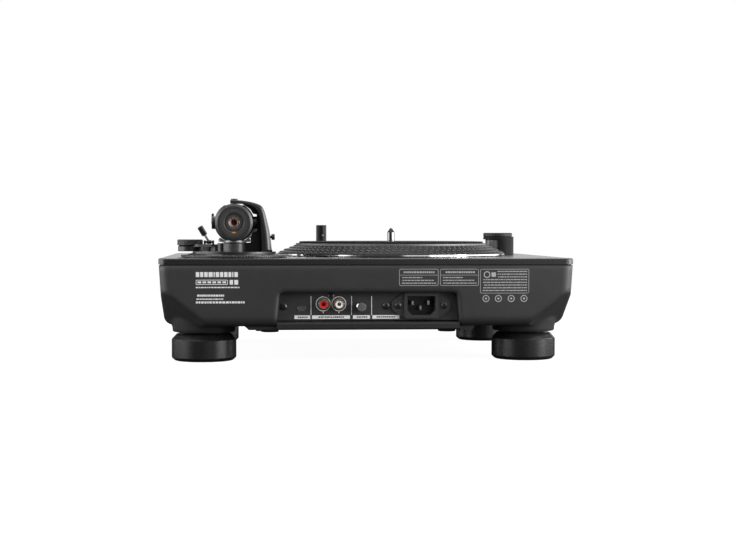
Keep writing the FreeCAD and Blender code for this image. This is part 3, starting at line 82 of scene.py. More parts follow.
class Paint:
    """One Principled material, built up node by node in the object's own coordinates."""

    def __init__(self, name, metallic=0.0, specular=0.5):
        self.material = bpy.data.materials.new(name)
        self.material.use_nodes = True
        self.tree = self.material.node_tree
        self.shader = self.tree.nodes["Principled BSDF"]
        self.shader.inputs["Metallic"].default_value = metallic
        self.shader.inputs["Specular IOR Level"].default_value = specular
        self.place = self.node("ShaderNodeTexCoord").outputs["Object"]
        self.normal = None

    def node(self, kind, **settings):
        made = self.tree.nodes.new(kind)
        for key, value in settings.items():
            setattr(made, key, value)
        return made

    def join(self, source, target):
        self.tree.links.new(source, target)

    def noise(self, scale, detail=4.0, stretch=None, roughness=0.5):
        """Noise with features about 1/scale metres across; stretch squeezes it along the axes."""
        texture = self.node("ShaderNodeTexNoise")
        texture.inputs["Scale"].default_value = scale
        texture.inputs["Detail"].default_value = detail
        texture.inputs["Roughness"].default_value = roughness
        place = self.place
        if stretch:
            mapping = self.node("ShaderNodeMapping")
            mapping.inputs["Scale"].default_value = stretch
            self.join(place, mapping.inputs["Vector"])
            place = mapping.outputs["Vector"]
        self.join(place, texture.inputs["Vector"])
        return texture.outputs["Fac"]

    def cells(self, scale, feature="F1"):
        texture = self.node("ShaderNodeTexVoronoi", feature=feature)
        texture.inputs["Scale"].default_value = scale
        self.join(self.place, texture.inputs["Vector"])
        return texture.outputs["Distance"]

    def span(self, value, low, high, start=0.3, end=0.7):
        """Map a texture's value from start..end to low..high."""
        ranged = self.node("ShaderNodeMapRange")
        ranged.inputs["From Min"].default_value = start
        ranged.inputs["From Max"].default_value = end
        ranged.inputs["To Min"].default_value = low
        ranged.inputs["To Max"].default_value = high
        self.join(value, ranged.inputs["Value"])
        return ranged.outputs["Result"]

    def mix(self, factor, first, second):
        """Blend two colours, each a tuple or another node's output."""
        blend = self.node("ShaderNodeMix", data_type="RGBA")
        self.join(factor, blend.inputs["Factor"])
        for value, socket in ((first, blend.inputs["A"]), (second, blend.inputs["B"])):
            if isinstance(value, tuple):
                socket.default_value = (*value, 1.0)
            else:
                self.join(value, socket)
        return blend.outputs["Result"]

    def math(self, operation, first, second=None):
        made = self.node("ShaderNodeMath", operation=operation)
        for value, socket in ((first, made.inputs[0]), (second, made.inputs[1])):
            if value is None:
                continue
            if isinstance(value, (int, float)):
                socket.default_value = value
            else:
                self.join(value, socket)
        return made.outputs["Value"]

    def colour(self, output):
        self.join(output, self.shader.inputs["Base Color"])

    def rough(self, output):
        self.join(output, self.shader.inputs["Roughness"])

    def bump(self, height, distance, strength=1.0):
        """Add a bump on top of whatever bumps the material already has; distance in metres."""
        made = self.node("ShaderNodeBump")
        made.inputs["Strength"].default_value = strength
        made.inputs["Distance"].default_value = distance
        self.join(height, made.inputs["Height"])
        if self.normal:
            self.join(self.normal, made.inputs["Normal"])
        self.normal = made.outputs["Normal"]
        self.join(self.normal, self.shader.inputs["Normal"])

    def axis(self, name):
        split = self.node("ShaderNodeSeparateXYZ")
        self.join(self.place, split.inputs["Vector"])
        return split.outputs[name]

    def radius_about(self, centre, axes):
        """Distance from a line through centre, measured in the plane of two axes."""
        total = None
        for axis in axes:
            offset = self.math("SUBTRACT", self.axis(axis), centre["XYZ".index(axis)])
            square = self.math("MULTIPLY", offset, offset)
            total = square if total is None else self.math("ADD", total, square)
        return self.math("SQRT", total)

    def soften(self, width):
        """Round the shading over creases, as on a thick moulding with broad blended edges."""
        bevel = self.node("ShaderNodeBevel", samples=8)
        bevel.inputs["Radius"].default_value = width
        self.normal = bevel.outputs["Normal"]
        self.join(self.normal, self.shader.inputs["Normal"])

    def edges(self, amount=0.25, width=0.35 * MM):
        """0 on flat faces, rising on sharp edges, where handling wears the finish."""
        bevel = self.node("ShaderNodeBevel", samples=4)
        bevel.inputs["Radius"].default_value = width
        geometry = self.node("ShaderNodeNewGeometry")
        dot = self.node("ShaderNodeVectorMath", operation="DOT_PRODUCT")
        self.join(bevel.outputs["Normal"], dot.inputs[0])
        self.join(geometry.outputs["Normal"], dot.inputs[1])
        turned = self.math("SUBTRACT", 1.0, dot.outputs["Value"])
        return self.span(turned, 0.0, amount, 0.02, 0.25)


def tint(colour, factor):
    return tuple(min(1.0, part * factor) for part in colour)


def moulded(name, colour, rough, grain=0.9 * MM, depth=0.012 * MM, specular=0.5, blend=0.0):
    """Moulded plastic: spark-eroded grain, faint cloudiness, edges polished by handling."""
    paint = Paint(name, specular=specular)
    if blend:
        paint.soften(blend)
    cloud = paint.noise(1 / (38 * MM), 3)
    body = paint.mix(paint.span(cloud, 0, 1), tint(colour, 0.86), tint(colour, 1.14))
    grain_noise = paint.noise(1 / grain, 5, roughness=0.65)
    flecked = paint.mix(paint.span(grain_noise, 0.0, 0.45, 0.45, 0.75), body, tint(colour, 1.7))
    paint.colour(paint.mix(paint.edges(0.30), flecked, tint(colour, 2.6)))
    paint.rough(paint.span(grain_noise, rough - 0.05, rough + 0.07))
    paint.bump(grain_noise, depth, 0.6)
    paint.bump(paint.cells(1 / (grain * 1.6)), depth * 0.7, 0.35)
    return paint.material


def powder_coat(name, colour, rough, peel=2.2 * MM, depth=0.010 * MM):
    """Sprayed metal: orange peel, dust specks and worn edges."""
    paint = Paint(name)
    peel_noise = paint.noise(1 / peel, 3)
    specks = paint.noise(1 / (0.35 * MM), 2)
    cloud = paint.noise(1 / (60 * MM), 2)
    body = paint.mix(paint.span(cloud, 0, 1), tint(colour, 0.9), tint(colour, 1.1))
    dusty = paint.mix(paint.span(specks, 0.0, 0.35, 0.62, 0.8), body, tint(colour, 2.4))
    paint.colour(paint.mix(paint.edges(0.25), dusty, tint(colour, 3.0)))
    paint.rough(paint.span(peel_noise, rough - 0.03, rough + 0.05))
    paint.bump(peel_noise, depth, 0.5)
    paint.bump(specks, depth * 0.3, 0.3)
    return paint.material


def brushed(name, colour, rough, stretch, metallic=1.0):
    """Machined or plated metal with fine drawn lines; stretch is small along the lines."""
    paint = Paint(name, metallic=metallic)
    lines = paint.noise(1 / (0.5 * MM), 4, stretch)
    smudge = paint.noise(1 / (14 * MM), 3)
    paint.colour(paint.mix(paint.span(lines, 0, 1), tint(colour, 0.82), tint(colour, 1.1)))
    worn = paint.span(smudge, 0.0, 0.10)
    paint.rough(paint.math("ADD", worn, paint.span(lines, rough * 0.8, rough * 1.25)))
    paint.bump(lines, 0.004 * MM, 0.35)
    return paint.material


def soft_rubber(name, colour):
    """Matte rubber with moulding speckle and a dusty bloom."""
    paint = Paint(name, specular=0.35)
    bloom = paint.noise(1 / (9 * MM), 5)
    speckle = paint.noise(1 / (0.4 * MM), 3)
    paint.colour(paint.mix(paint.span(bloom, 0, 1), tint(colour, 0.8), tint(colour, 1.6)))
    paint.rough(paint.span(bloom, 0.72, 0.9))
    paint.bump(speckle, 0.02 * MM, 0.5)
    return paint.material


def gloss_plastic(name, colour, rough=0.16):
    """Glossy insulator plastic with flow marks and hairline scratches."""
    paint = Paint(name)
    flow = paint.noise(1 / (5 * MM), 3)
    scratches = paint.noise(1 / (0.25 * MM), 2, (1.0, 1.0, 0.08))
    paint.colour(paint.mix(paint.span(flow, 0, 1), tint(colour, 0.88), tint(colour, 1.06)))
    paint.rough(paint.span(scratches, rough, rough + 0.14, 0.45, 0.8))
    paint.bump(flow, 0.01 * MM, 0.3)
    return paint.material


def printed_ink(name, colour):
    """Screen-printed ink: slightly uneven cover with a fine mesh pattern."""
    paint = Paint(name, specular=0.4)
    cover = paint.noise(1 / (0.5 * MM), 4)
    paint.colour(paint.mix(paint.span(cover, 0, 1), tint(colour, 0.80), tint(colour, 1.05)))
    paint.rough(paint.span(cover, 0.45, 0.6))
    paint.bump(cover, 0.006 * MM, 0.3)
    return paint.material


def felt(name, colour):
    """Pressed felt: tangled fibres, sheen and a little lint."""
    paint = Paint(name, specular=0.1)
    paint.shader.inputs["Sheen Weight"].default_value = 0.03
    paint.shader.inputs["Sheen Roughness"].default_value = 0.5
    tangle = paint.noise(1 / (0.7 * MM), 6, roughness=0.7)
    warp = paint.noise(1 / (0.9 * MM), 3, (0.15, 1.0, 1.0))
    weft = paint.noise(1 / (0.9 * MM), 3, (1.0, 0.15, 1.0))
    fibres = paint.math("MAXIMUM", warp, weft)
    body = paint.mix(paint.span(tangle, 0, 1), tint(colour, 0.6), tint(colour, 1.6))
    paint.colour(paint.mix(paint.span(fibres, 0.0, 0.35, 0.62, 0.8), body, tint(colour, 4.0)))
    paint.rough(paint.span(tangle, 0.86, 1.0))
    paint.bump(tangle, 0.12 * MM, 0.6)
    paint.bump(fibres, 0.10 * MM, 0.5)
    return paint.material


def circuit_board(name, top_z):
    """Green board below top_z with copper tracks; parts above it are black, grey or silver."""
    paint = Paint(name)
    tracks = paint.cells(1 / (6 * MM), "DISTANCE_TO_EDGE")
    mask = paint.noise(1 / (18 * MM), 2)
    green = paint.mix(paint.span(tracks, 1, 0, 0.02, 0.06), (0.012, 0.085, 0.03), (0.05, 0.21, 0.08))
    tinted = paint.mix(paint.span(mask, 0, 0.5), green, (0.01, 0.06, 0.025))
    shade = paint.noise(1 / (25 * MM), 1)
    parts = paint.mix(paint.span(shade, 0, 1, 0.42, 0.58), (0.02, 0.02, 0.022), (0.30, 0.30, 0.31))
    above = paint.math("GREATER_THAN", paint.axis("Z"), top_z)
    paint.colour(paint.mix(above, tinted, parts))
    paint.rough(paint.span(tracks, 0.25, 0.42, 0.0, 0.1))
    paint.bump(tracks, 0.03 * MM, 0.4)
    return paint.material


def platter_finish():
    """Black flank, bright turned rim and grey lip, told apart by radius and height."""
    paint = Paint("turned_platter", metallic=1.0)
    radius = paint.radius_about(SPINDLE, "XY")
    rings = paint.node("ShaderNodeTexNoise", noise_dimensions="1D")
    rings.inputs["Scale"].default_value = 1 / (0.22 * MM)
    paint.join(radius, rings.inputs["W"])
    height = paint.axis("Z")
    rim_r = PLATTER_HIGH.x - SPINDLE.x
    outside = paint.math("GREATER_THAN", radius, rim_r - 0.9 * MM)
    below_step = paint.math("LESS_THAN", height, PLATTER_LOW.z + 1.55 * MM)
    on_rim = paint.math("MULTIPLY", outside, below_step)
    lip = paint.math("GREATER_THAN", height, PLATTER_HIGH.z - 2.0 * MM)
    bright = paint.math("MAXIMUM", on_rim, lip)
    black = paint.mix(paint.span(rings.outputs["Fac"], 0, 1), (0.006, 0.006, 0.0065), (0.012, 0.012, 0.0125))
    metal = paint.mix(paint.span(rings.outputs["Fac"], 0, 1), (0.58, 0.58, 0.60), (0.86, 0.86, 0.88))
    metal = paint.mix(lip, metal, (0.16, 0.16, 0.163))
    paint.colour(paint.mix(bright, black, metal))
    bare_rough = paint.span(lip, 0.10, 0.55, 0.0, 1.0)
    dark = paint.math("SUBTRACT", 1.0, bright)
    paint.rough(paint.math("ADD", bare_rough, paint.math("MULTIPLY", dark, 0.24)))
    paint.bump(rings.outputs["Fac"], 0.004 * MM, 0.3)
    return paint.material


def window_glass():
    """Smoked, faintly frosted lens of the strobe window."""
    paint = Paint("smoked_lens", specular=0.5)
    paint.shader.inputs["Transmission Weight"].default_value = 0.12
    paint.shader.inputs["IOR"].default_value = 1.49
    flow = paint.noise(1 / (6 * MM), 3)
    ribs = paint.noise(1 / (0.8 * MM), 2, (1.0, 1.0, 0.05))
    paint.colour(paint.mix(paint.span(flow, 0, 1), (0.075, 0.075, 0.077), (0.12, 0.12, 0.12)))
    paint.rough(paint.span(ribs, 0.14, 0.30))
    paint.bump(ribs, 0.02 * MM, 0.4)
    return paint.material


PLINTH = moulded("grained_plinth", (0.021, 0.021, 0.0215), 0.44, depth=0.006 * MM, blend=7.0 * MM)
DECK = powder_coat("deck_satin_black", (0.013, 0.013, 0.0135), 0.26, 1.6 * MM, 0.003 * MM)
STEEL_COAT = powder_coat("black_powder_coat", (0.010, 0.010, 0.0105), 0.42)
PANEL = powder_coat("panel_coat", (0.022, 0.022, 0.0225), 0.48, 1.2 * MM, 0.008 * MM)
SCREW = brushed("black_oxide_screw", (0.055, 0.055, 0.06), 0.34, (1.0, 0.1, 1.0), 0.9)
FOOT = moulded("foot_satin", (0.009, 0.009, 0.0095), 0.27, 0.5 * MM, 0.0015 * MM)
NECK_RUBBER = soft_rubber("neck_rubber", (0.006, 0.006, 0.006))
PAD_RUBBER = soft_rubber("pad_rubber", (0.012, 0.012, 0.012))
GOLD = brushed("warm_plating", (0.86, 0.68, 0.52), 0.16, (1.0, 0.1, 1.0))
RED = gloss_plastic("red_insulator", (0.55, 0.015, 0.018))
WHITE = gloss_plastic("white_insulator", (0.78, 0.78, 0.77))
CHROME = brushed("chrome_plate", (0.88, 0.88, 0.89), 0.06, (1.0, 1.0, 0.1))
PORT_STEEL = brushed("port_shell", (0.35, 0.35, 0.36), 0.30, (0.1, 1.0, 1.0))
INLET = moulded("inlet_plastic", (0.026, 0.026, 0.0265), 0.34, 0.5 * MM, 0.006 * MM)
CONTACT = brushed("contact_nickel", (0.74, 0.68, 0.62), 0.22, (1.0, 0.1, 1.0))
CAST = brushed("cast_housing", (0.34, 0.34, 0.35), 0.45, (1.0, 1.0, 0.6))
COPPER = brushed("copper_winding", (0.55, 0.22, 0.10), 0.30, (1.0, 1.0, 0.2))
MAGNET = powder_coat("sintered_magnet", (0.10, 0.10, 0.105), 0.55)
SPINDLE_STEEL = brushed("ground_spindle", (0.21, 0.20, 0.20), 0.12, (1.0, 1.0, 0.06))
FELT = felt("pressed_felt", (0.005, 0.005, 0.0055))
ARM = powder_coat("arm_satin", (0.011, 0.011, 0.0115), 0.30, 1.0 * MM, 0.005 * MM)
WEIGHT = powder_coat("weight_coat", (0.030, 0.030, 0.031), 0.40, 0.9 * MM, 0.006 * MM)
KNOB = moulded("knob_satin", (0.020, 0.020, 0.0205), 0.42, 0.5 * MM, 0.008 * MM)
CAP = moulded("tower_cap", (0.015, 0.015, 0.0155), 0.48, 0.6 * MM, 0.004 * MM, 0.30)
TOWER = moulded("tower_body", (0.010, 0.010, 0.0105), 0.50, 0.7 * MM, 0.004 * MM, 0.10)
BUTTON = moulded("button_satin", (0.060, 0.060, 0.061), 0.38, 0.5 * MM, 0.006 * MM)
LIGHT_TUBE = moulded("light_tube", (0.004, 0.004, 0.0045), 0.40, 0.5 * MM, 0.004 * MM, 0.20)
CARTRIDGE = gloss_plastic("cartridge_black", (0.018, 0.018, 0.020))
STYLUS = gloss_plastic("stylus_grey", (0.16, 0.16, 0.165))
WHITE_INK = printed_ink("white_ink", (0.74, 0.74, 0.74))
GREY_INK = printed_ink("grey_ink", (0.40, 0.40, 0.395))
# Dark ink for the panel's small print; also used as the painted shade in the counterweight's crease.
DARK_INK_AND_SHADE = printed_ink("dark_ink_and_painted_shade", (0.012, 0.012, 0.012))
ORANGE_INK = printed_ink("orange_ink", (0.48, 0.14, 0.02))
DOT = brushed("polished_dots", (0.06, 0.06, 0.0625), 0.18, (1.0, 1.0, 1.0))
COLLAR = brushed("satin_collar", (0.26, 0.26, 0.265), 0.48, (1.0, 1.0, 0.1))
DARK_TIP = brushed("burnished_tip", (0.07, 0.07, 0.072), 0.22, (1.0, 1.0, 0.1))
INSERT = brushed("plated_insert", (0.62, 0.48, 0.43), 0.14, (1.0, 0.1, 1.0))
CLEAR_DOME = gloss_plastic("lens_dome", (0.16, 0.16, 0.17), 0.06)
FOOT_NECK_Z = 23.45 * MM
SPINDLE_CONE_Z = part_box("spindle")[1].z - 4.4 * MM

NODE_FINISH = {
    "top_plate": DECK, "plinth_shell": PLINTH, "bottom_tray": STEEL_COAT, "tray_screws": SCREW,
    "tray_pads": PAD_RUBBER, "connector_panel": PANEL, "panel_screws": SCREW, "rca_shells": GOLD,
    "rca_insulator_red": RED, "rca_insulator_white": WHITE, "service_port": PORT_STEEL,
    "ground_stud": CHROME, "ground_nut": CHROME, "inlet_housing": INLET, "inlet_pins": CONTACT,
    "bearing_housing": CAST, "motor_stator": COPPER, "rotor_magnet": MAGNET, "spindle": SPINDLE_STEEL,
    "arm_sleeve": ARM, "height_ring": ARM, "arm_base": ARM, "arm_post": WEIGHT, "arm_arch": ARM,
    "arch_knob": SCREW, "top_pivot_screw": SCREW, "cue_bracket": ARM, "anti_skate_knob": KNOB,
    "cue_lever": ARM, "lift_bar": ARM, "arm_rest": ARM, "arm_clamp": KNOB, "gimbal_ring": ARM,
    "gimbal_collar": COLLAR, "pivot_block": ARM, "arm_tube": ARM, "shell_collar": ARM,
    "head_shell": WEIGHT, "cartridge": CARTRIDGE, "stylus": STYLUS, "counterweight_shaft": WEIGHT,
    "counterweight": WEIGHT, "weight_dial": KNOB, "strobe_tower": TOWER, "strobe_window": window_glass(),
    "power_dial": CAP, "target_light": LIGHT_TUBE, "fader_track": STEEL_COAT, "fader_cap": KNOB,
    "start_stop_button": BUTTON, "speed_button_33": BUTTON, "speed_button_45": BUTTON,
    "foot_front_left": FOOT, "foot_front_right": FOOT, "foot_rear_left": FOOT, "foot_rear_right": FOOT,
}


def finish_node(name, finish):
    """Give a CAD node its material."""
    piece = NODES[name]
    piece.data.materials.clear()
    piece.data.materials.append(finish)


def second_finish(name, finish, chosen):
    """Give a second material to the faces of a node that chosen(centre, normal) picks."""
    mesh = NODES[name].data
    mesh.materials.append(finish)
    for face in mesh.polygons:
        if chosen(face.center, face.normal):
            face.material_index = len(mesh.materials) - 1


def far_from_axes(place, axes, reach):
    """True if a place is further than reach from every one of some lines along Y."""
    return all(math.hypot(place.x - axis.x, place.z - axis.z) > reach for axis in axes)


def finish_nodes():
    for name, finish in NODE_FINISH.items():
        finish_node(name, finish)
    for board in ("main_board", "power_supply"):
        low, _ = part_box(board)
        finish_node(board, circuit_board(board + "_finish", low.z + 1.65 * MM))
    finish_node("platter", platter_finish())
    for corner in ("front_left", "front_right", "rear_left", "rear_right"):
        second_finish("foot_" + corner, NECK_RUBBER, lambda centre, normal: centre.z > FOOT_NECK_Z)
    lever_low, lever_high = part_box("cue_lever")
    shaft_z = lever_low.z + 4.0 * MM
    grip_z = lever_high.z - 8.8 * MM
    second_finish("cue_lever", CHROME, lambda centre, normal: shaft_z < centre.z < grip_z)
    second_finish("spindle", DARK_TIP, lambda centre, normal: centre.z > SPINDLE_CONE_Z)
    jacks = [middle("rca_insulator_red"), middle("rca_insulator_white")]
    second_finish("rca_shells", KNOB, lambda centre, normal: far_from_axes(centre, jacks, 4.5 * MM))


# ----------------------------------------------------------------------------
# Mesh helpers
# ----------------------------------------------------------------------------

def new_piece(name, vertices, faces, finish, body, smooth=True):
    """Mesh piece in the row frame that moves with a body of the frame."""
    mesh = bpy.data.meshes.new(name)
    mesh.from_pydata(vertices, [], faces)
    mesh.validate()
    work = bmesh.new()
    work.from_mesh(mesh)
    bmesh.ops.recalc_face_normals(work, faces=work.faces)
    work.to_mesh(mesh)
    work.free()
    if smooth:
        mesh.shade_smooth()
        mesh.set_sharp_from_angle(angle=math.radians(35))
    mesh.materials.append(finish)
    piece = bpy.data.objects.new(name, mesh)
    bpy.context.scene.collection.objects.link(piece)
    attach(piece, body)
    return piece


def lathe(name, profile, centre, axis, finish, body, segments=96):
    """Closed solid turned about an axis ("Y" or "Z") through centre; profile is (radius, along)."""
    vertices = []
    faces = []
    count = len(profile)
    for step in range(segments):
        angle = 2 * math.pi * step / segments
        for radius, along in profile:
            across = (radius * math.cos(angle), radius * math.sin(angle))
            offset = (across[0], across[1], along) if axis == "Z" else (across[0], along, across[1])
            vertices.append(centre + Vector(offset))
    for step in range(segments):
        here = step * count
        there = (step + 1) % segments * count
        for index in range(count):
            after = (index + 1) % count
            faces.append((here + index, here + after, there + after, there + index))
    return new_piece(name, vertices, faces, finish, body)


def circle(x, y, radius, count=24, start=0.0):
    """Points of a circle in the plane of a print."""
    turns = [start + 2 * math.pi * step / count for step in range(count)]
    return [(x + radius * math.cos(turn), y + radius * math.sin(turn)) for turn in turns]


def rounded_box(x, y, wide, high, radius, steps=4):
    """Points of a rectangle with round corners, centred on (x, y)."""
    points = []
    for corner, (sx, sy) in enumerate(((1, 1), (-1, 1), (-1, -1), (1, -1))):
        centre_x = x + sx * (wide / 2 - radius)
        centre_y = y + sy * (high / 2 - radius)
        for step in range(steps + 1):
            turn = math.pi / 2 * (corner + step / steps)
            points.append((centre_x + radius * math.cos(turn), centre_y + radius * math.sin(turn)))
    return points


class Print:
    """Printing on one face of a part: flat shapes laid on its surface, in millimetres."""

    def __init__(self, node, start, toward, thick=0.04 * MM):
        mesh = NODES[node].data
        corners = [vertex.co for vertex in mesh.vertices]
        self.tree = BVHTree.FromPolygons(corners, [face.vertices for face in mesh.polygons])
        self.start = start
        self.toward = Vector(toward)
        self.thick = thick
        self.vertices = []
        self.faces = []

    def surface(self, x, y):
        start = Vector(self.start(x * MM, y * MM))
        hit = self.tree.ray_cast(start, self.toward)[0]
        return hit if hit else start

    def loop(self, points):
        """Lay a loop on the surface twice, at and just above it; return the two index lists."""
        low = []
        high = []
        for x, y in points:
            hit = self.surface(x, y)
            low.append(len(self.vertices))
            self.vertices.append(hit + self.toward * 0.01 * MM)
            high.append(len(self.vertices))
            self.vertices.append(hit - self.toward * self.thick)
        return low, high

    def walls(self, low, high):
        for index in range(len(low)):
            after = (index + 1) % len(low)
            self.faces.append((low[index], low[after], high[after], high[index]))

    def fill(self, points):
        low, high = self.loop(points)
        self.faces.append(tuple(high))
        self.faces.append(tuple(reversed(low)))
        self.walls(low, high)

    def outline(self, outer, inner):
        """Band between two loops with the same number of points."""
        low_out, high_out = self.loop(outer)
        low_in, high_in = self.loop(inner)
        self.walls(low_out, high_out)
        self.walls(low_in, high_in)
        for index in range(len(outer)):
            after = (index + 1) % len(outer)
            self.faces.append((high_out[index], high_out[after], high_in[after], high_in[index]))
            self.faces.append((low_out[index], low_out[after], low_in[after], low_in[index]))

    def bar(self, x, y, wide, high):
        self.fill([
            (x - wide / 2, y - high / 2), (x + wide / 2, y - high / 2),
            (x + wide / 2, y + high / 2), (x - wide / 2, y + high / 2),
        ])

    def dashes(self, x0, x1, y, high, dice, shortest=0.9, longest=3.4, gap=0.5):
        """Row of plain dashes of mixed lengths that stands where small print would be."""
        x = x0
        while x < x1 - shortest:
            wide = min(dice.uniform(shortest, longest), x1 - x)
            self.bar(x + wide / 2, y, wide, high)
            x += wide + gap

    def numeral(self, text, x, y, size, turn=0.0):
        """Generic numeral, centred on (x, y), seen from outside the face."""
        curve = bpy.data.curves.new("numeral", "FONT")
        curve.body = text
        curve.size = size
        curve.align_x = "CENTER"
        curve.align_y = "CENTER"
        curve.resolution_u = 3
        curve.extrude = 0.001
        shape = bpy.data.objects.new("numeral", curve)
        mesh = bpy.data.meshes.new_from_object(shape)
        base = len(self.vertices)
        for vertex in mesh.vertices:
            cos, sin = math.cos(turn), math.sin(turn)
            px = x + vertex.co.x * cos - vertex.co.y * sin
            py = y + vertex.co.x * sin + vertex.co.y * cos
            lift = self.thick if vertex.co.z > 0 else -0.01 * MM
            self.vertices.append(self.surface(px, py) - self.toward * lift)
        self.faces += [tuple(base + index for index in face.vertices) for face in mesh.polygons]
        bpy.data.objects.remove(shape)
        bpy.data.curves.remove(curve)
        bpy.data.meshes.remove(mesh)

    def piece(self, name, finish, body):
        return new_piece(name, self.vertices, self.faces, finish, body, smooth=False)


def rear_print():
    """Print on the face of the plinth that the connectors are in: x is row X, y is row Z."""
    return Print("plinth_shell", lambda x, z: (x, REAR_Y + 20 * MM, z), (0, -1, 0))


def panel_print(thick=0.04 * MM):
    return Print("connector_panel", lambda x, z: (x, REAR_Y + 20 * MM, z), (0, -1, 0), thick)


def top_print(node):
    """Print on the upper side of a part: x and y are row X and Y."""
    return Print(node, lambda x, y: (x, y, 200 * MM), (0, 0, -1))


# ----------------------------------------------------------------------------
# Platter and mat
# ----------------------------------------------------------------------------

# The black flank's lower and upper edges, each (radius, height) in millimetres.
FLANK_LOW = (108.5, 92.5)
FLANK_HIGH = (91.8, 99.8)
DOT_ROWS = (
    # height, number of dots, half width along the rim, half width up the slope, how proud
    (99.25, 100, 1.55, 1.05, 0.50),
    (97.60, 104, 1.70, 1.35, 0.60),
    (95.45, 109, 2.05, 1.75, 0.75),
    (93.45, 114, 1.75, 1.35, 0.60),
)


def dome(vertices, faces, centre, along, up, out):
    """Add one polished dome; the three vectors give its half width, half height and rise."""
    around = 14
    rings = ((1.0, -0.15), (0.94, 0.28), (0.72, 0.66), (0.38, 0.92))
    base = len(vertices)
    for spread, rise in rings:
        for step in range(around):
            turn = 2 * math.pi * step / around
            flat = along * math.cos(turn) * spread + up * math.sin(turn) * spread
            vertices.append(centre + flat + out * rise)
    vertices.append(centre + out)
    for ring_index in range(len(rings) - 1):
        for step in range(around):
            after = (step + 1) % around
            low = base + ring_index * around
            high = low + around
            faces.append((low + step, low + after, high + after, high + step))
    last = base + (len(rings) - 1) * around
    for step in range(around):
        faces.append((last + step, last + (step + 1) % around, base + len(rings) * around))
    faces.append(tuple(base + step for step in reversed(range(around))))


def make_platter_dots():
    """Four rows of polished dots on the black flank of the platter."""
    run = FLANK_LOW[0] - FLANK_HIGH[0]
    rise = FLANK_HIGH[1] - FLANK_LOW[1]
    length = math.hypot(run, rise)
    vertices = []
    faces = []
    for height, count, wide, high, proud in DOT_ROWS:
        radius = FLANK_LOW[0] - (height - FLANK_LOW[1]) * run / rise
        for index in range(count):
            turn = 2 * math.pi * index / count
            radial = Vector((math.cos(turn), math.sin(turn), 0))
            along = Vector((-math.sin(turn), math.cos(turn), 0))
            up = radial * (-run / length) + Vector((0, 0, rise / length))
            out = radial * (rise / length) + Vector((0, 0, run / length))
            centre = Vector((SPINDLE.x, SPINDLE.y, height * MM)) + radial * radius * MM
            dome(vertices, faces, centre, along * wide * MM, up * high * MM, out * proud * MM)
    new_piece("platter_dots", vertices, faces, DOT, "platter")


def make_mat():
    """Felt mat: a soft disc with a rolled edge and a slightly uneven surface."""
    low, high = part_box("slipmat")
    outer = (high.x - low.x) / 2
    bore = 4.3 * MM
    thick = high.z - low.z
    segments = 160
    radii = [bore + 0.3 * MM + (outer - bore - 1.3 * MM) * step / 26 for step in range(27)]
    profile = [(bore, low.z + 0.3 * MM), (bore, high.z - 0.3 * MM)]
    profile += [(radius, high.z) for radius in radii]
    profile += [(outer - 0.45 * MM, high.z - 0.14 * MM), (outer, low.z + thick / 2)]
    profile += [(outer - 0.4 * MM, low.z + 0.12 * MM), (outer - 1.0 * MM, low.z)]
    profile += [(bore + 0.3 * MM, low.z)]
    centre = Vector((SPINDLE.x, SPINDLE.y, 0))
    mat = lathe("felt_mat", profile, centre, "Z", FELT, "slipmat", segments)
    dice = random.Random(7)
    for vertex in mat.data.vertices:
        if vertex.co.z > high.z - 0.01 * MM:
            vertex.co.z -= dice.uniform(0.0, 0.06) * MM
    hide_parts("slipmat")


# ----------------------------------------------------------------------------
# Printing on the connector side
# ----------------------------------------------------------------------------

# The print's places are millimetres in from the deck's edges and down from its top.
TONEARM_EDGE = DECK_HIGH.x / MM
POWER_EDGE = DECK_LOW.x / MM
PRINT_TOP = DECK_HIGH.z / MM

TITLE_EDGE = TONEARM_EDGE - 31.9
TITLE_BLOCKS = (2.9, 2.6, 2.9, 3.4, 1.0, 2.9, 2.6, 2.9, 2.4, 1.0, 2.9)
TITLE_DOWN = 13.6
TITLE_HIGH = 4.2
TITLE_GAP = 0.8
BADGE_DOWN = 20.2
BADGE_SIZE = (27.0, 4.2)
BADGE_LINE = 0.5
SMALL_ROWS = (
    # how far down, length, height of the dashes, shortest dash, longest dash, gap
    (24.6, 36.9, 1.0, 0.9, 3.4, 0.5),
    (31.5, 23.8, 1.7, 1.0, 2.0, 0.45),
    (34.5, 23.1, 1.0, 0.9, 3.4, 0.5),
    (37.3, 41.2, 1.7, 1.0, 2.6, 0.6),
)


def print_title(ink):
    """Row of blocks in place of a title."""
    x = TITLE_EDGE
    for wide in TITLE_BLOCKS:
        ink.bar(x - wide / 2, PRINT_TOP - TITLE_DOWN, wide, TITLE_HIGH)
        x -= wide + TITLE_GAP


def print_badge(ink):
    """Frame with six blocks in it, and two taller blocks beside it."""
    z = PRINT_TOP - BADGE_DOWN
    wide, high = BADGE_SIZE
    x = TITLE_EDGE - wide / 2
    inner = rounded_box(x, z, wide - 2 * BADGE_LINE, high - 2 * BADGE_LINE, 0.3)
    ink.outline(rounded_box(x, z, wide, high, 0.6), inner)
    for index in range(6):
        ink.bar(TITLE_EDGE - 3.0 - index * 4.2, z, 3.0, 1.6)
    ink.bar(TITLE_EDGE - 30.0, z, 2.8, 4.0)
    ink.bar(TITLE_EDGE - 34.1, z, 3.2, 4.0)


def make_rear_print():
    """Plain blocks and dashes where a maker's print would be; nothing here can be read."""
    ink = rear_print()
    dice = random.Random(21)
    print_title(ink)
    print_badge(ink)
    for down, length, high, shortest, longest, gap in SMALL_ROWS:
        start = TITLE_EDGE - length
        ink.dashes(start, TITLE_EDGE, PRINT_TOP - down, high, dice, shortest, longest, gap)
    ink.piece("rear_print_left", WHITE_INK, "deck")


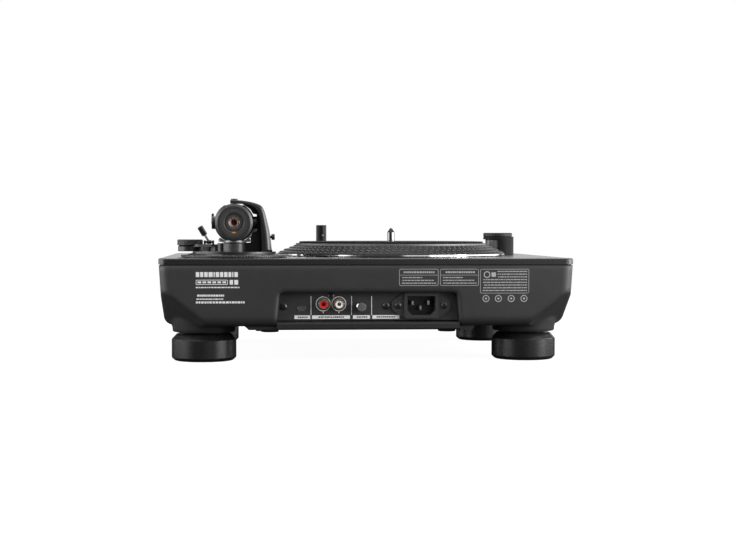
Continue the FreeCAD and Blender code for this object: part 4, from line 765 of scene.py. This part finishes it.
NOTICES = ((119.2, 153.1), (84.2, 117.7))
NOTICE_DOWN = (9.0, 23.4)
NOTICE_TITLE_DOWN = 11.8
NOTICE_RULE_DOWN = 14.3
NOTICE_ROWS_DOWN = 16.4
NOTICE_INDENTS = (14.0, 4.0, 2.0)
STATEMENT = (40.3, 82.9)
STATEMENT_DOWN = (9.1, 30.1)
STATEMENT_ROWS_DOWN = 11.2
EMBLEM_DOWN = 13.9
MARKS = (77.8, 67.0, 55.8, 44.6)
MARKS_DOWN = 34.6
ROW_PITCH = 2.4
STATEMENT_PITCH = 2.35


def framed_block(ink, x0, x1, down):
    """Thin round-cornered frame between two places across and two places down."""
    x, z = (x0 + x1) / 2, PRINT_TOP - (down[0] + down[1]) / 2
    wide, high = x1 - x0, down[1] - down[0]
    ink.outline(rounded_box(x, z, wide, high, 1.5), rounded_box(x, z, wide - 0.7, high - 0.7, 1.15))


def print_notice(ink, x0, x1, dice):
    """Framed notice: a title row, a rule and three rows of dashes."""
    framed_block(ink, x0, x1, NOTICE_DOWN)
    ink.bar((x0 + x1) / 2, PRINT_TOP - NOTICE_RULE_DOWN, x1 - x0 - 0.8, 0.3)
    ink.dashes(x0 + 3.5, x1 - 3.5, PRINT_TOP - NOTICE_TITLE_DOWN, 1.5, dice, 1.0, 2.2, 0.5)
    for row, indent in enumerate(NOTICE_INDENTS):
        z = PRINT_TOP - NOTICE_ROWS_DOWN - ROW_PITCH * row
        ink.dashes(x0 + indent, x1 - 1.8, z, 0.8, dice)


def print_statement(ink, dice):
    """Large framed block of dashes with a plain ring and square in its corner."""
    x0, x1 = (POWER_EDGE + across for across in STATEMENT)
    framed_block(ink, x0, x1, STATEMENT_DOWN)
    z = PRINT_TOP - EMBLEM_DOWN
    ink.outline(circle(x1 - 5.9, z, 2.9), circle(x1 - 5.9, z, 2.1))
    ink.bar(x1 - 11.7, z, 3.8, 3.8)
    for row in range(8):
        end = x1 - 15.1 if row < 3 else x1 - 2.1
        ink.dashes(x0 + 1.7, end, PRINT_TOP - STATEMENT_ROWS_DOWN - STATEMENT_PITCH * row, 0.8, dice)


def make_rear_frames():
    """Framed blocks of dashes and four ringed dots at the power side; nothing can be read."""
    ink = rear_print()
    dice = random.Random(4)
    for across in NOTICES:
        print_notice(ink, POWER_EDGE + across[0], POWER_EDGE + across[1], dice)
    print_statement(ink, dice)
    for across in MARKS:
        x, z = POWER_EDGE + across, PRINT_TOP - MARKS_DOWN
        ink.outline(circle(x, z, 3.0), circle(x, z, 2.35))
        ink.fill(circle(x, z, 0.9, 12))
    ink.piece("rear_print_right", GREY_INK, "deck")


# The panel's print is placed from the point midway between the two phono jacks.
JACKS = (middle("rca_insulator_red") + middle("rca_insulator_white")) / 2 / MM
LABELS = ((17.95, 31.45), (-16.35, 16.35), (-33.65, -18.85), (-59.15, -35.65))
LABEL_DOWN = 11.4
LABEL_HIGH = 3.1
DIVIDERS = (17.25, -17.65, -35.05)
DIVIDER_DOWN = 1.5


def make_panel_print():
    """Label strips, divider lines and jack rings on the connector panel."""
    strips = panel_print()
    dashes = panel_print(0.09 * MM)
    dice = random.Random(11)
    label_z = JACKS.z - LABEL_DOWN
    for first, last in LABELS:
        centre, wide = JACKS.x + (first + last) / 2, last - first
        strips.bar(centre, label_z, wide, LABEL_HIGH)
        reach = wide * 0.34
        dashes.dashes(centre - reach, centre + reach, label_z, 1.2, dice, 0.9, 1.7, 0.4)
    for across in DIVIDERS:
        strips.bar(JACKS.x + across, JACKS.z - DIVIDER_DOWN, 0.55, 16.4)
    for jack in ("rca_insulator_red", "rca_insulator_white"):
        place = middle(jack) / MM
        strips.outline(circle(place.x, place.z, 6.4, 48), circle(place.x, place.z, 5.75, 48))
        strips.bar(place.x, place.z - 7.3, 0.8, 1.3)
    strips.piece("panel_print", WHITE_INK, "deck")
    dashes.piece("panel_print_dashes", DARK_INK_AND_SHADE, "deck")


# ----------------------------------------------------------------------------
# Scales and marks on the deck and the tonearm
# ----------------------------------------------------------------------------

def make_fader_scale():
    """Pitch scale beside the fader: ticks with plain numerals."""
    ink = top_print("top_plate")
    low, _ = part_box("fader_track")
    edge = low.x / MM - 3.2
    centre = FADER.y / MM
    for step in range(-8, 9):
        wide = 3.4 if step % 4 == 0 else 1.8
        ink.bar(edge, centre + step * 4.6, wide, 0.45)
        if step % 4 == 0:
            ink.numeral(str(abs(step)), edge - 4.6, centre + step * 4.6, 3.6)
    ink.piece("fader_scale", WHITE_INK, "deck")


RING_TICKS = 41
RING_TICK_OUTER = 45.6
RING_TICK_INNER = 43.6
RING_LONG_TICK_INNER = 41.6
RING_TICK_HALF = 0.2
SKATE_NUMERALS = 8
SKATE_NUMERAL_R = 8.4


def make_dial_scales():
    """Ticks round the height ring and numerals round the anti-skate knob."""
    ink = top_print("height_ring")
    centre = Vector((PIVOT.x, PIVOT.y)) / MM
    for step in range(RING_TICKS):
        turn = math.radians(-150 + step * 7.5)
        inner = RING_LONG_TICK_INNER if step % 5 == 0 else RING_TICK_INNER
        ray = Vector((math.cos(turn), math.sin(turn)))
        side = Vector((-ray.y, ray.x)) * RING_TICK_HALF
        near, far = centre + ray * inner, centre + ray * RING_TICK_OUTER
        ink.fill([tuple(near - side), tuple(far - side), tuple(far + side), tuple(near + side)])
    ink.piece("height_ring_scale", WHITE_INK, "height_ring")

    knob = top_print("anti_skate_knob")
    for step in range(SKATE_NUMERALS):
        turn = math.radians(90 - step * 38)
        x = SKATE.x / MM + SKATE_NUMERAL_R * math.cos(turn)
        y = SKATE.y / MM + SKATE_NUMERAL_R * math.sin(turn)
        knob.numeral(str(step), x, y, 3.2, turn - math.pi / 2)
    knob.piece("anti_skate_scale", WHITE_INK, "anti_skate")


def make_button_marks():
    """Speed numerals and the start and stop sign on the buttons, and a line on the power dial."""
    for node, text, body in (("speed_button_33", "33", "speed_33"), ("speed_button_45", "45", "speed_45")):
        place = middle(node) / MM
        ink = top_print(node)
        ink.numeral(text, place.x, place.y, 5.0)
        ink.piece(node + "_mark", WHITE_INK, body)
    place = middle("start_stop_button") / MM
    ink = top_print("start_stop_button")
    ink.fill([(place.x - 5, place.y - 2.6), (place.x - 0.6, place.y), (place.x - 5, place.y + 2.6)])
    ink.bar(place.x + 2.2, place.y, 1.2, 5.0)
    ink.bar(place.x + 4.6, place.y, 1.2, 5.0)
    ink.piece("start_stop_mark", WHITE_INK, "start_stop")
    place = middle("power_dial") / MM
    ink = top_print("power_dial")
    ink.bar(place.x - 9.5, place.y, 6.0, 0.7)
    ink.piece("power_dial_mark", WHITE_INK, "power_dial")


def make_weight_details():
    """Threaded insert in the weight's shaft and the coloured index mark on the weight."""
    shaft_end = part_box("counterweight_shaft")[1].y
    centre = Vector((PIVOT.x, shaft_end, PIVOT.z))
    # radius, and place along the shaft from its rear end
    profile = [
        (5.15, -6.0), (5.15, -0.25), (4.7, -0.25), (4.3, -0.7), (3.7, -0.8), (3.2, -1.5), (2.6, -1.6),
        (2.2, -2.4), (2.2, -6.0),
    ]
    lathe("shaft_insert", [(r * MM, y * MM) for r, y in profile], centre, "Y", INSERT, "arm", 64)
    face = Print("counterweight", lambda x, z: (x, REAR_Y, z), (0, -1, 0), 0.15 * MM)
    face.fill(rounded_box(PIVOT.x / MM, PIVOT.z / MM - 8.7, 3.9, 1.2, 0.3))
    face.piece("weight_index", ORANGE_INK, "counterweight")


def make_washer(name, node, radius, bore, height, body):
    """Thin friction washer that fills the running gap under a turning knob."""
    place = middle(node)
    centre = Vector((place.x, place.y, 0))
    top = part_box(node)[0].z - 0.02 * MM
    profile = [(bore, top - height), (radius, top - height), (radius, top), (bore, top)]
    lathe(name, profile, centre, "Z", PAD_RUBBER, body, 64)


def make_washers():
    make_washer("skate_washer", "anti_skate_knob", 10.1 * MM, 3.3 * MM, 0.36 * MM, "arm_base")
    make_washer("dial_washer", "power_dial", 13.8 * MM, 9.0 * MM, 0.14 * MM, "power_dial")


# Across from the pivot and up from the gimbal ring's underside, in millimetres.
CHEEK_OUTLINE = ((9.3, 0.0), (13.4, 0.0), (13.4, 2.2), (11.6, 1.6), (10.2, 0.8))
CHEEK_HALF_DEPTH = 3.0


def make_collar_trim():
    """Skirt under the plated collar, and the two cheeks beside it."""
    post_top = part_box("arm_post")[1].z
    centre = Vector((PIVOT.x, PIVOT.y, 0))
    skirt_low = post_top + 0.06 * MM
    skirt_high = post_top + 0.86 * MM
    profile = [
        (3.2 * MM, skirt_low), (10.2 * MM, skirt_low), (10.8 * MM, skirt_low + 0.3 * MM),
        (10.8 * MM, skirt_high), (3.2 * MM, skirt_high),
    ]
    lathe("collar_skirt", profile, centre, "Z", COLLAR, "gimbal", 72)
    ring_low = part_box("gimbal_ring")[0].z
    vertices = []
    faces = []
    for side in (-1, 1):
        base = len(vertices)
        for depth in (-CHEEK_HALF_DEPTH, CHEEK_HALF_DEPTH):
            for across, up in CHEEK_OUTLINE:
                offset = Vector((side * across * MM, depth * MM, up * MM - 0.02 * MM))
                vertices.append(Vector((PIVOT.x, PIVOT.y, ring_low)) + offset)
        count = len(CHEEK_OUTLINE)
        faces.append(tuple(base + index for index in range(count)))
        faces.append(tuple(base + count + index for index in reversed(range(count))))
        for index in range(count):
            after = (index + 1) % count
            faces.append((base + index, base + after, base + count + after, base + count + index))
    new_piece("collar_cheeks", vertices, faces, COLLAR, "gimbal")


def make_weight_ring():
    """Painted shade: a fine dark ring laid on the rear face of the counterweight, where the crease between
    its flat face and outer bevel lies in shade.
    """
    face = Print("counterweight", lambda x, z: (x, REAR_Y, z), (0, -1, 0), 0.03 * MM)
    x, z = PIVOT.x / MM, PIVOT.z / MM
    # Painted shade: this dark ring stands for the shaded crease, not for a real groove.
    face.outline(circle(x, z, 12.6, 96), circle(x, z, 11.9, 96))
    face.piece("weight_crease_painted_shade", DARK_INK_AND_SHADE, "counterweight")


LAMP_AIM = Vector((-0.34, 0.94, 0.0)).normalized()
LENS_R = 1.6 * MM


def make_light_lens():
    """Small clear dome in the pocket of the target light."""
    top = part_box("target_light")[1].z
    tube = middle("target_light")
    centre = Vector((tube.x, tube.y, top - 10.7 * MM)) + LAMP_AIM * 4.3 * MM
    across = Vector((-LAMP_AIM.y, LAMP_AIM.x, 0))
    vertices = []
    faces = []
    dome(vertices, faces, centre, across * LENS_R, Vector((0, 0, LENS_R)), LAMP_AIM * 0.9 * MM)
    new_piece("target_lens", vertices, faces, CLEAR_DOME, "target_light")


def make_pieces():
    make_platter_dots()
    make_mat()
    make_rear_print()
    make_rear_frames()
    make_panel_print()
    make_fader_scale()
    make_dial_scales()
    make_button_marks()
    make_weight_details()
    make_weight_ring()
    make_collar_trim()
    make_light_lens()
    make_washers()


# ----------------------------------------------------------------------------
# Stage, light and camera
# ----------------------------------------------------------------------------

def is_seen(tree):
    """1 where the camera looks straight at a surface, 0 in reflections and bounced light."""
    return tree.nodes.new("ShaderNodeLightPath").outputs["Is Camera Ray"]


def make_floor():
    """Pale sweep as the camera sees it; to the object it is a dark table that throws little light."""
    mesh = bpy.data.meshes.new("floor")
    half = 1.3
    corners = [(-half, -half, 0), (half, -half, 0), (half, half, 0), (-half, half, 0)]
    mesh.from_pydata(corners, [], [(0, 1, 2, 3)])
    floor = bpy.data.objects.new("floor", mesh)
    bpy.context.scene.collection.objects.link(floor)
    paint = Paint("floor_paint", specular=0.0)
    cloud = paint.noise(1.5, 2)
    pale = paint.mix(paint.span(cloud, 0, 1), (0.11, 0.11, 0.11), (0.13, 0.13, 0.13))
    seen = is_seen(paint.tree)
    paint.colour(paint.mix(seen, (0.06, 0.06, 0.06), pale))
    paint.shader.inputs["Roughness"].default_value = 0.9
    paint.shader.inputs["Emission Color"].default_value = (1, 1, 1, 1)
    paint.join(paint.math("MULTIPLY", seen, 0.96), paint.shader.inputs["Emission Strength"])
    mesh.materials.append(paint.material)


class Sky:
    """Studio surroundings, built from soft-edged panels by direction."""

    def __init__(self, base):
        world = bpy.data.worlds.new("studio")
        bpy.context.scene.world = world
        world.use_nodes = True
        self.tree = world.node_tree
        self.background = self.tree.nodes["Background"]
        self.split = self.tree.nodes.new("ShaderNodeSeparateXYZ")
        place = self.tree.nodes.new("ShaderNodeTexCoord")
        self.tree.links.new(place.outputs["Generated"], self.split.inputs["Vector"])
        self.total = self.value(base)

    def value(self, number):
        made = self.tree.nodes.new("ShaderNodeValue")
        made.outputs[0].default_value = number
        return made.outputs[0]

    def math(self, operation, first, second):
        made = self.tree.nodes.new("ShaderNodeMath")
        made.operation = operation
        self.tree.links.new(first, made.inputs[0])
        self.tree.links.new(second, made.inputs[1])
        return made.outputs["Value"]

    def step(self, axis, start, end):
        """0 before start and 1 after end along one axis of the view direction."""
        ramp = self.tree.nodes.new("ShaderNodeMapRange")
        ramp.interpolation_type = "SMOOTHSTEP"
        ramp.inputs["From Min"].default_value = min(start, end)
        ramp.inputs["From Max"].default_value = max(start, end)
        ramp.inputs["To Min"].default_value = 0.0 if start < end else 1.0
        ramp.inputs["To Max"].default_value = 1.0 if start < end else 0.0
        self.tree.links.new(self.split.outputs[axis], ramp.inputs["Value"])
        return ramp.outputs["Result"]

    def panel(self, brightness, *steps):
        """Add a bright panel where all the (axis, start, end) steps hold."""
        glow = self.value(brightness)
        for axis, start, end in steps:
            glow = self.math("MULTIPLY", glow, self.step(axis, start, end))
        self.total = self.math("ADD", self.total, glow)

    def finish(self):
        """The camera sees plain white; everything else sees the panels."""
        blend = self.tree.nodes.new("ShaderNodeMix")
        self.tree.links.new(is_seen(self.tree), blend.inputs["Factor"])
        self.tree.links.new(self.total, blend.inputs["A"])
        blend.inputs["B"].default_value = 1.0
        self.tree.links.new(blend.outputs["Result"], self.background.inputs["Color"])


def make_world():
    """Dim room with soft bright panels: front, overhead, the camera's side and both ends."""
    sky = Sky(0.08)
    sky.panel(0.95, ("Y", -0.75, -0.90), ("X", 0.22, 0.06), ("Z", 0.62, 0.40))
    sky.panel(0.60, ("Z", 0.60, 0.85))
    sky.panel(0.80, ("Y", 0.10, 0.45), ("Z", 0.30, 0.60))
    sky.panel(3.40, ("X", 0.66, 0.86), ("Z", 0.75, 0.50))
    sky.panel(4.20, ("X", -0.66, -0.86), ("Z", 0.75, 0.50))
    sky.panel(0.85, ("Y", 0.55, 0.70), ("X", -0.06, -0.18), ("X", -0.62, -0.52), ("Z", 0.40, 0.15))
    sky.finish()


def softbox(name, place, target, width, height, power):
    lamp = bpy.data.lights.new(name, "AREA")
    lamp.shape = "RECTANGLE"
    lamp.size = width
    lamp.size_y = height
    lamp.energy = power
    piece = bpy.data.objects.new(name, lamp)
    piece.location = place
    piece.rotation_euler = (Vector(target) - Vector(place)).to_track_quat("-Z", "Y").to_euler()
    bpy.context.scene.collection.objects.link(piece)


def make_lights():
    """Softboxes; three small ones stand close, so that their light fades along the connector side."""
    softbox("softbox_west", (-1.5, 0.9, 0.5), (0, 0, 0.07), 1.0, 1.2, 14)
    softbox("softbox_east", (1.7, 0.5, 0.6), (0, 0, 0.07), 0.8, 1.2, 8)
    softbox("softbox_top", (0.0, -0.6, 1.6), (0, 0, 0.05), 1.6, 1.0, 10)
    softbox("softbox_low_west", (-0.40, 0.50, 0.14), (-0.13, 0.15, 0.05), 0.14, 0.14, 0.30)
    softbox("softbox_low_east", (0.42, 0.50, 0.30), (0.14, 0.15, 0.09), 0.18, 0.18, 0.42)
    softbox("softbox_arch", (-0.70, 0.34, 0.20), (0.105, 0.10, 0.11), 0.14, 0.30, 1.6)


# Metres, radians and, for the lens and the sensor, millimetres.
CAMERA_PLACE = (0.09953, 1.34406, 0.11331)
CAMERA_YAW = 0.08248
CAMERA_PITCH = 0.03506
CAMERA_ROLL = 0.001385
LENS = 68.48
SENSOR = 36.0


def make_camera():
    """Long-lens view of the connector side, a little above the deck."""
    yaw, pitch, roll = CAMERA_YAW, CAMERA_PITCH, CAMERA_ROLL
    forward = Vector((-math.sin(yaw) * math.cos(pitch), -math.cos(yaw) * math.cos(pitch), -math.sin(pitch)))
    right = Vector((-math.cos(yaw), math.sin(yaw), 0))
    up = Vector((-math.sin(yaw) * math.sin(pitch), -math.cos(yaw) * math.sin(pitch), math.cos(pitch)))
    rolled_right = right * math.cos(roll) + up * math.sin(roll)
    rolled_up = up * math.cos(roll) - right * math.sin(roll)
    data = bpy.data.cameras.new("camera")
    data.lens = LENS
    data.sensor_width = SENSOR
    camera = bpy.data.objects.new("camera", data)
    turn = Matrix((rolled_right, rolled_up, -forward)).transposed().to_4x4()
    camera.matrix_world = Matrix.Translation(CAMERA_PLACE) @ turn
    bpy.context.scene.collection.objects.link(camera)
    bpy.context.scene.camera = camera


# ----------------------------------------------------------------------------
# Build
# ----------------------------------------------------------------------------

finish_nodes()
make_pieces()
make_floor()
make_world()
make_lights()
make_camera()
bpy.context.scene.view_settings.view_transform = "Standard"
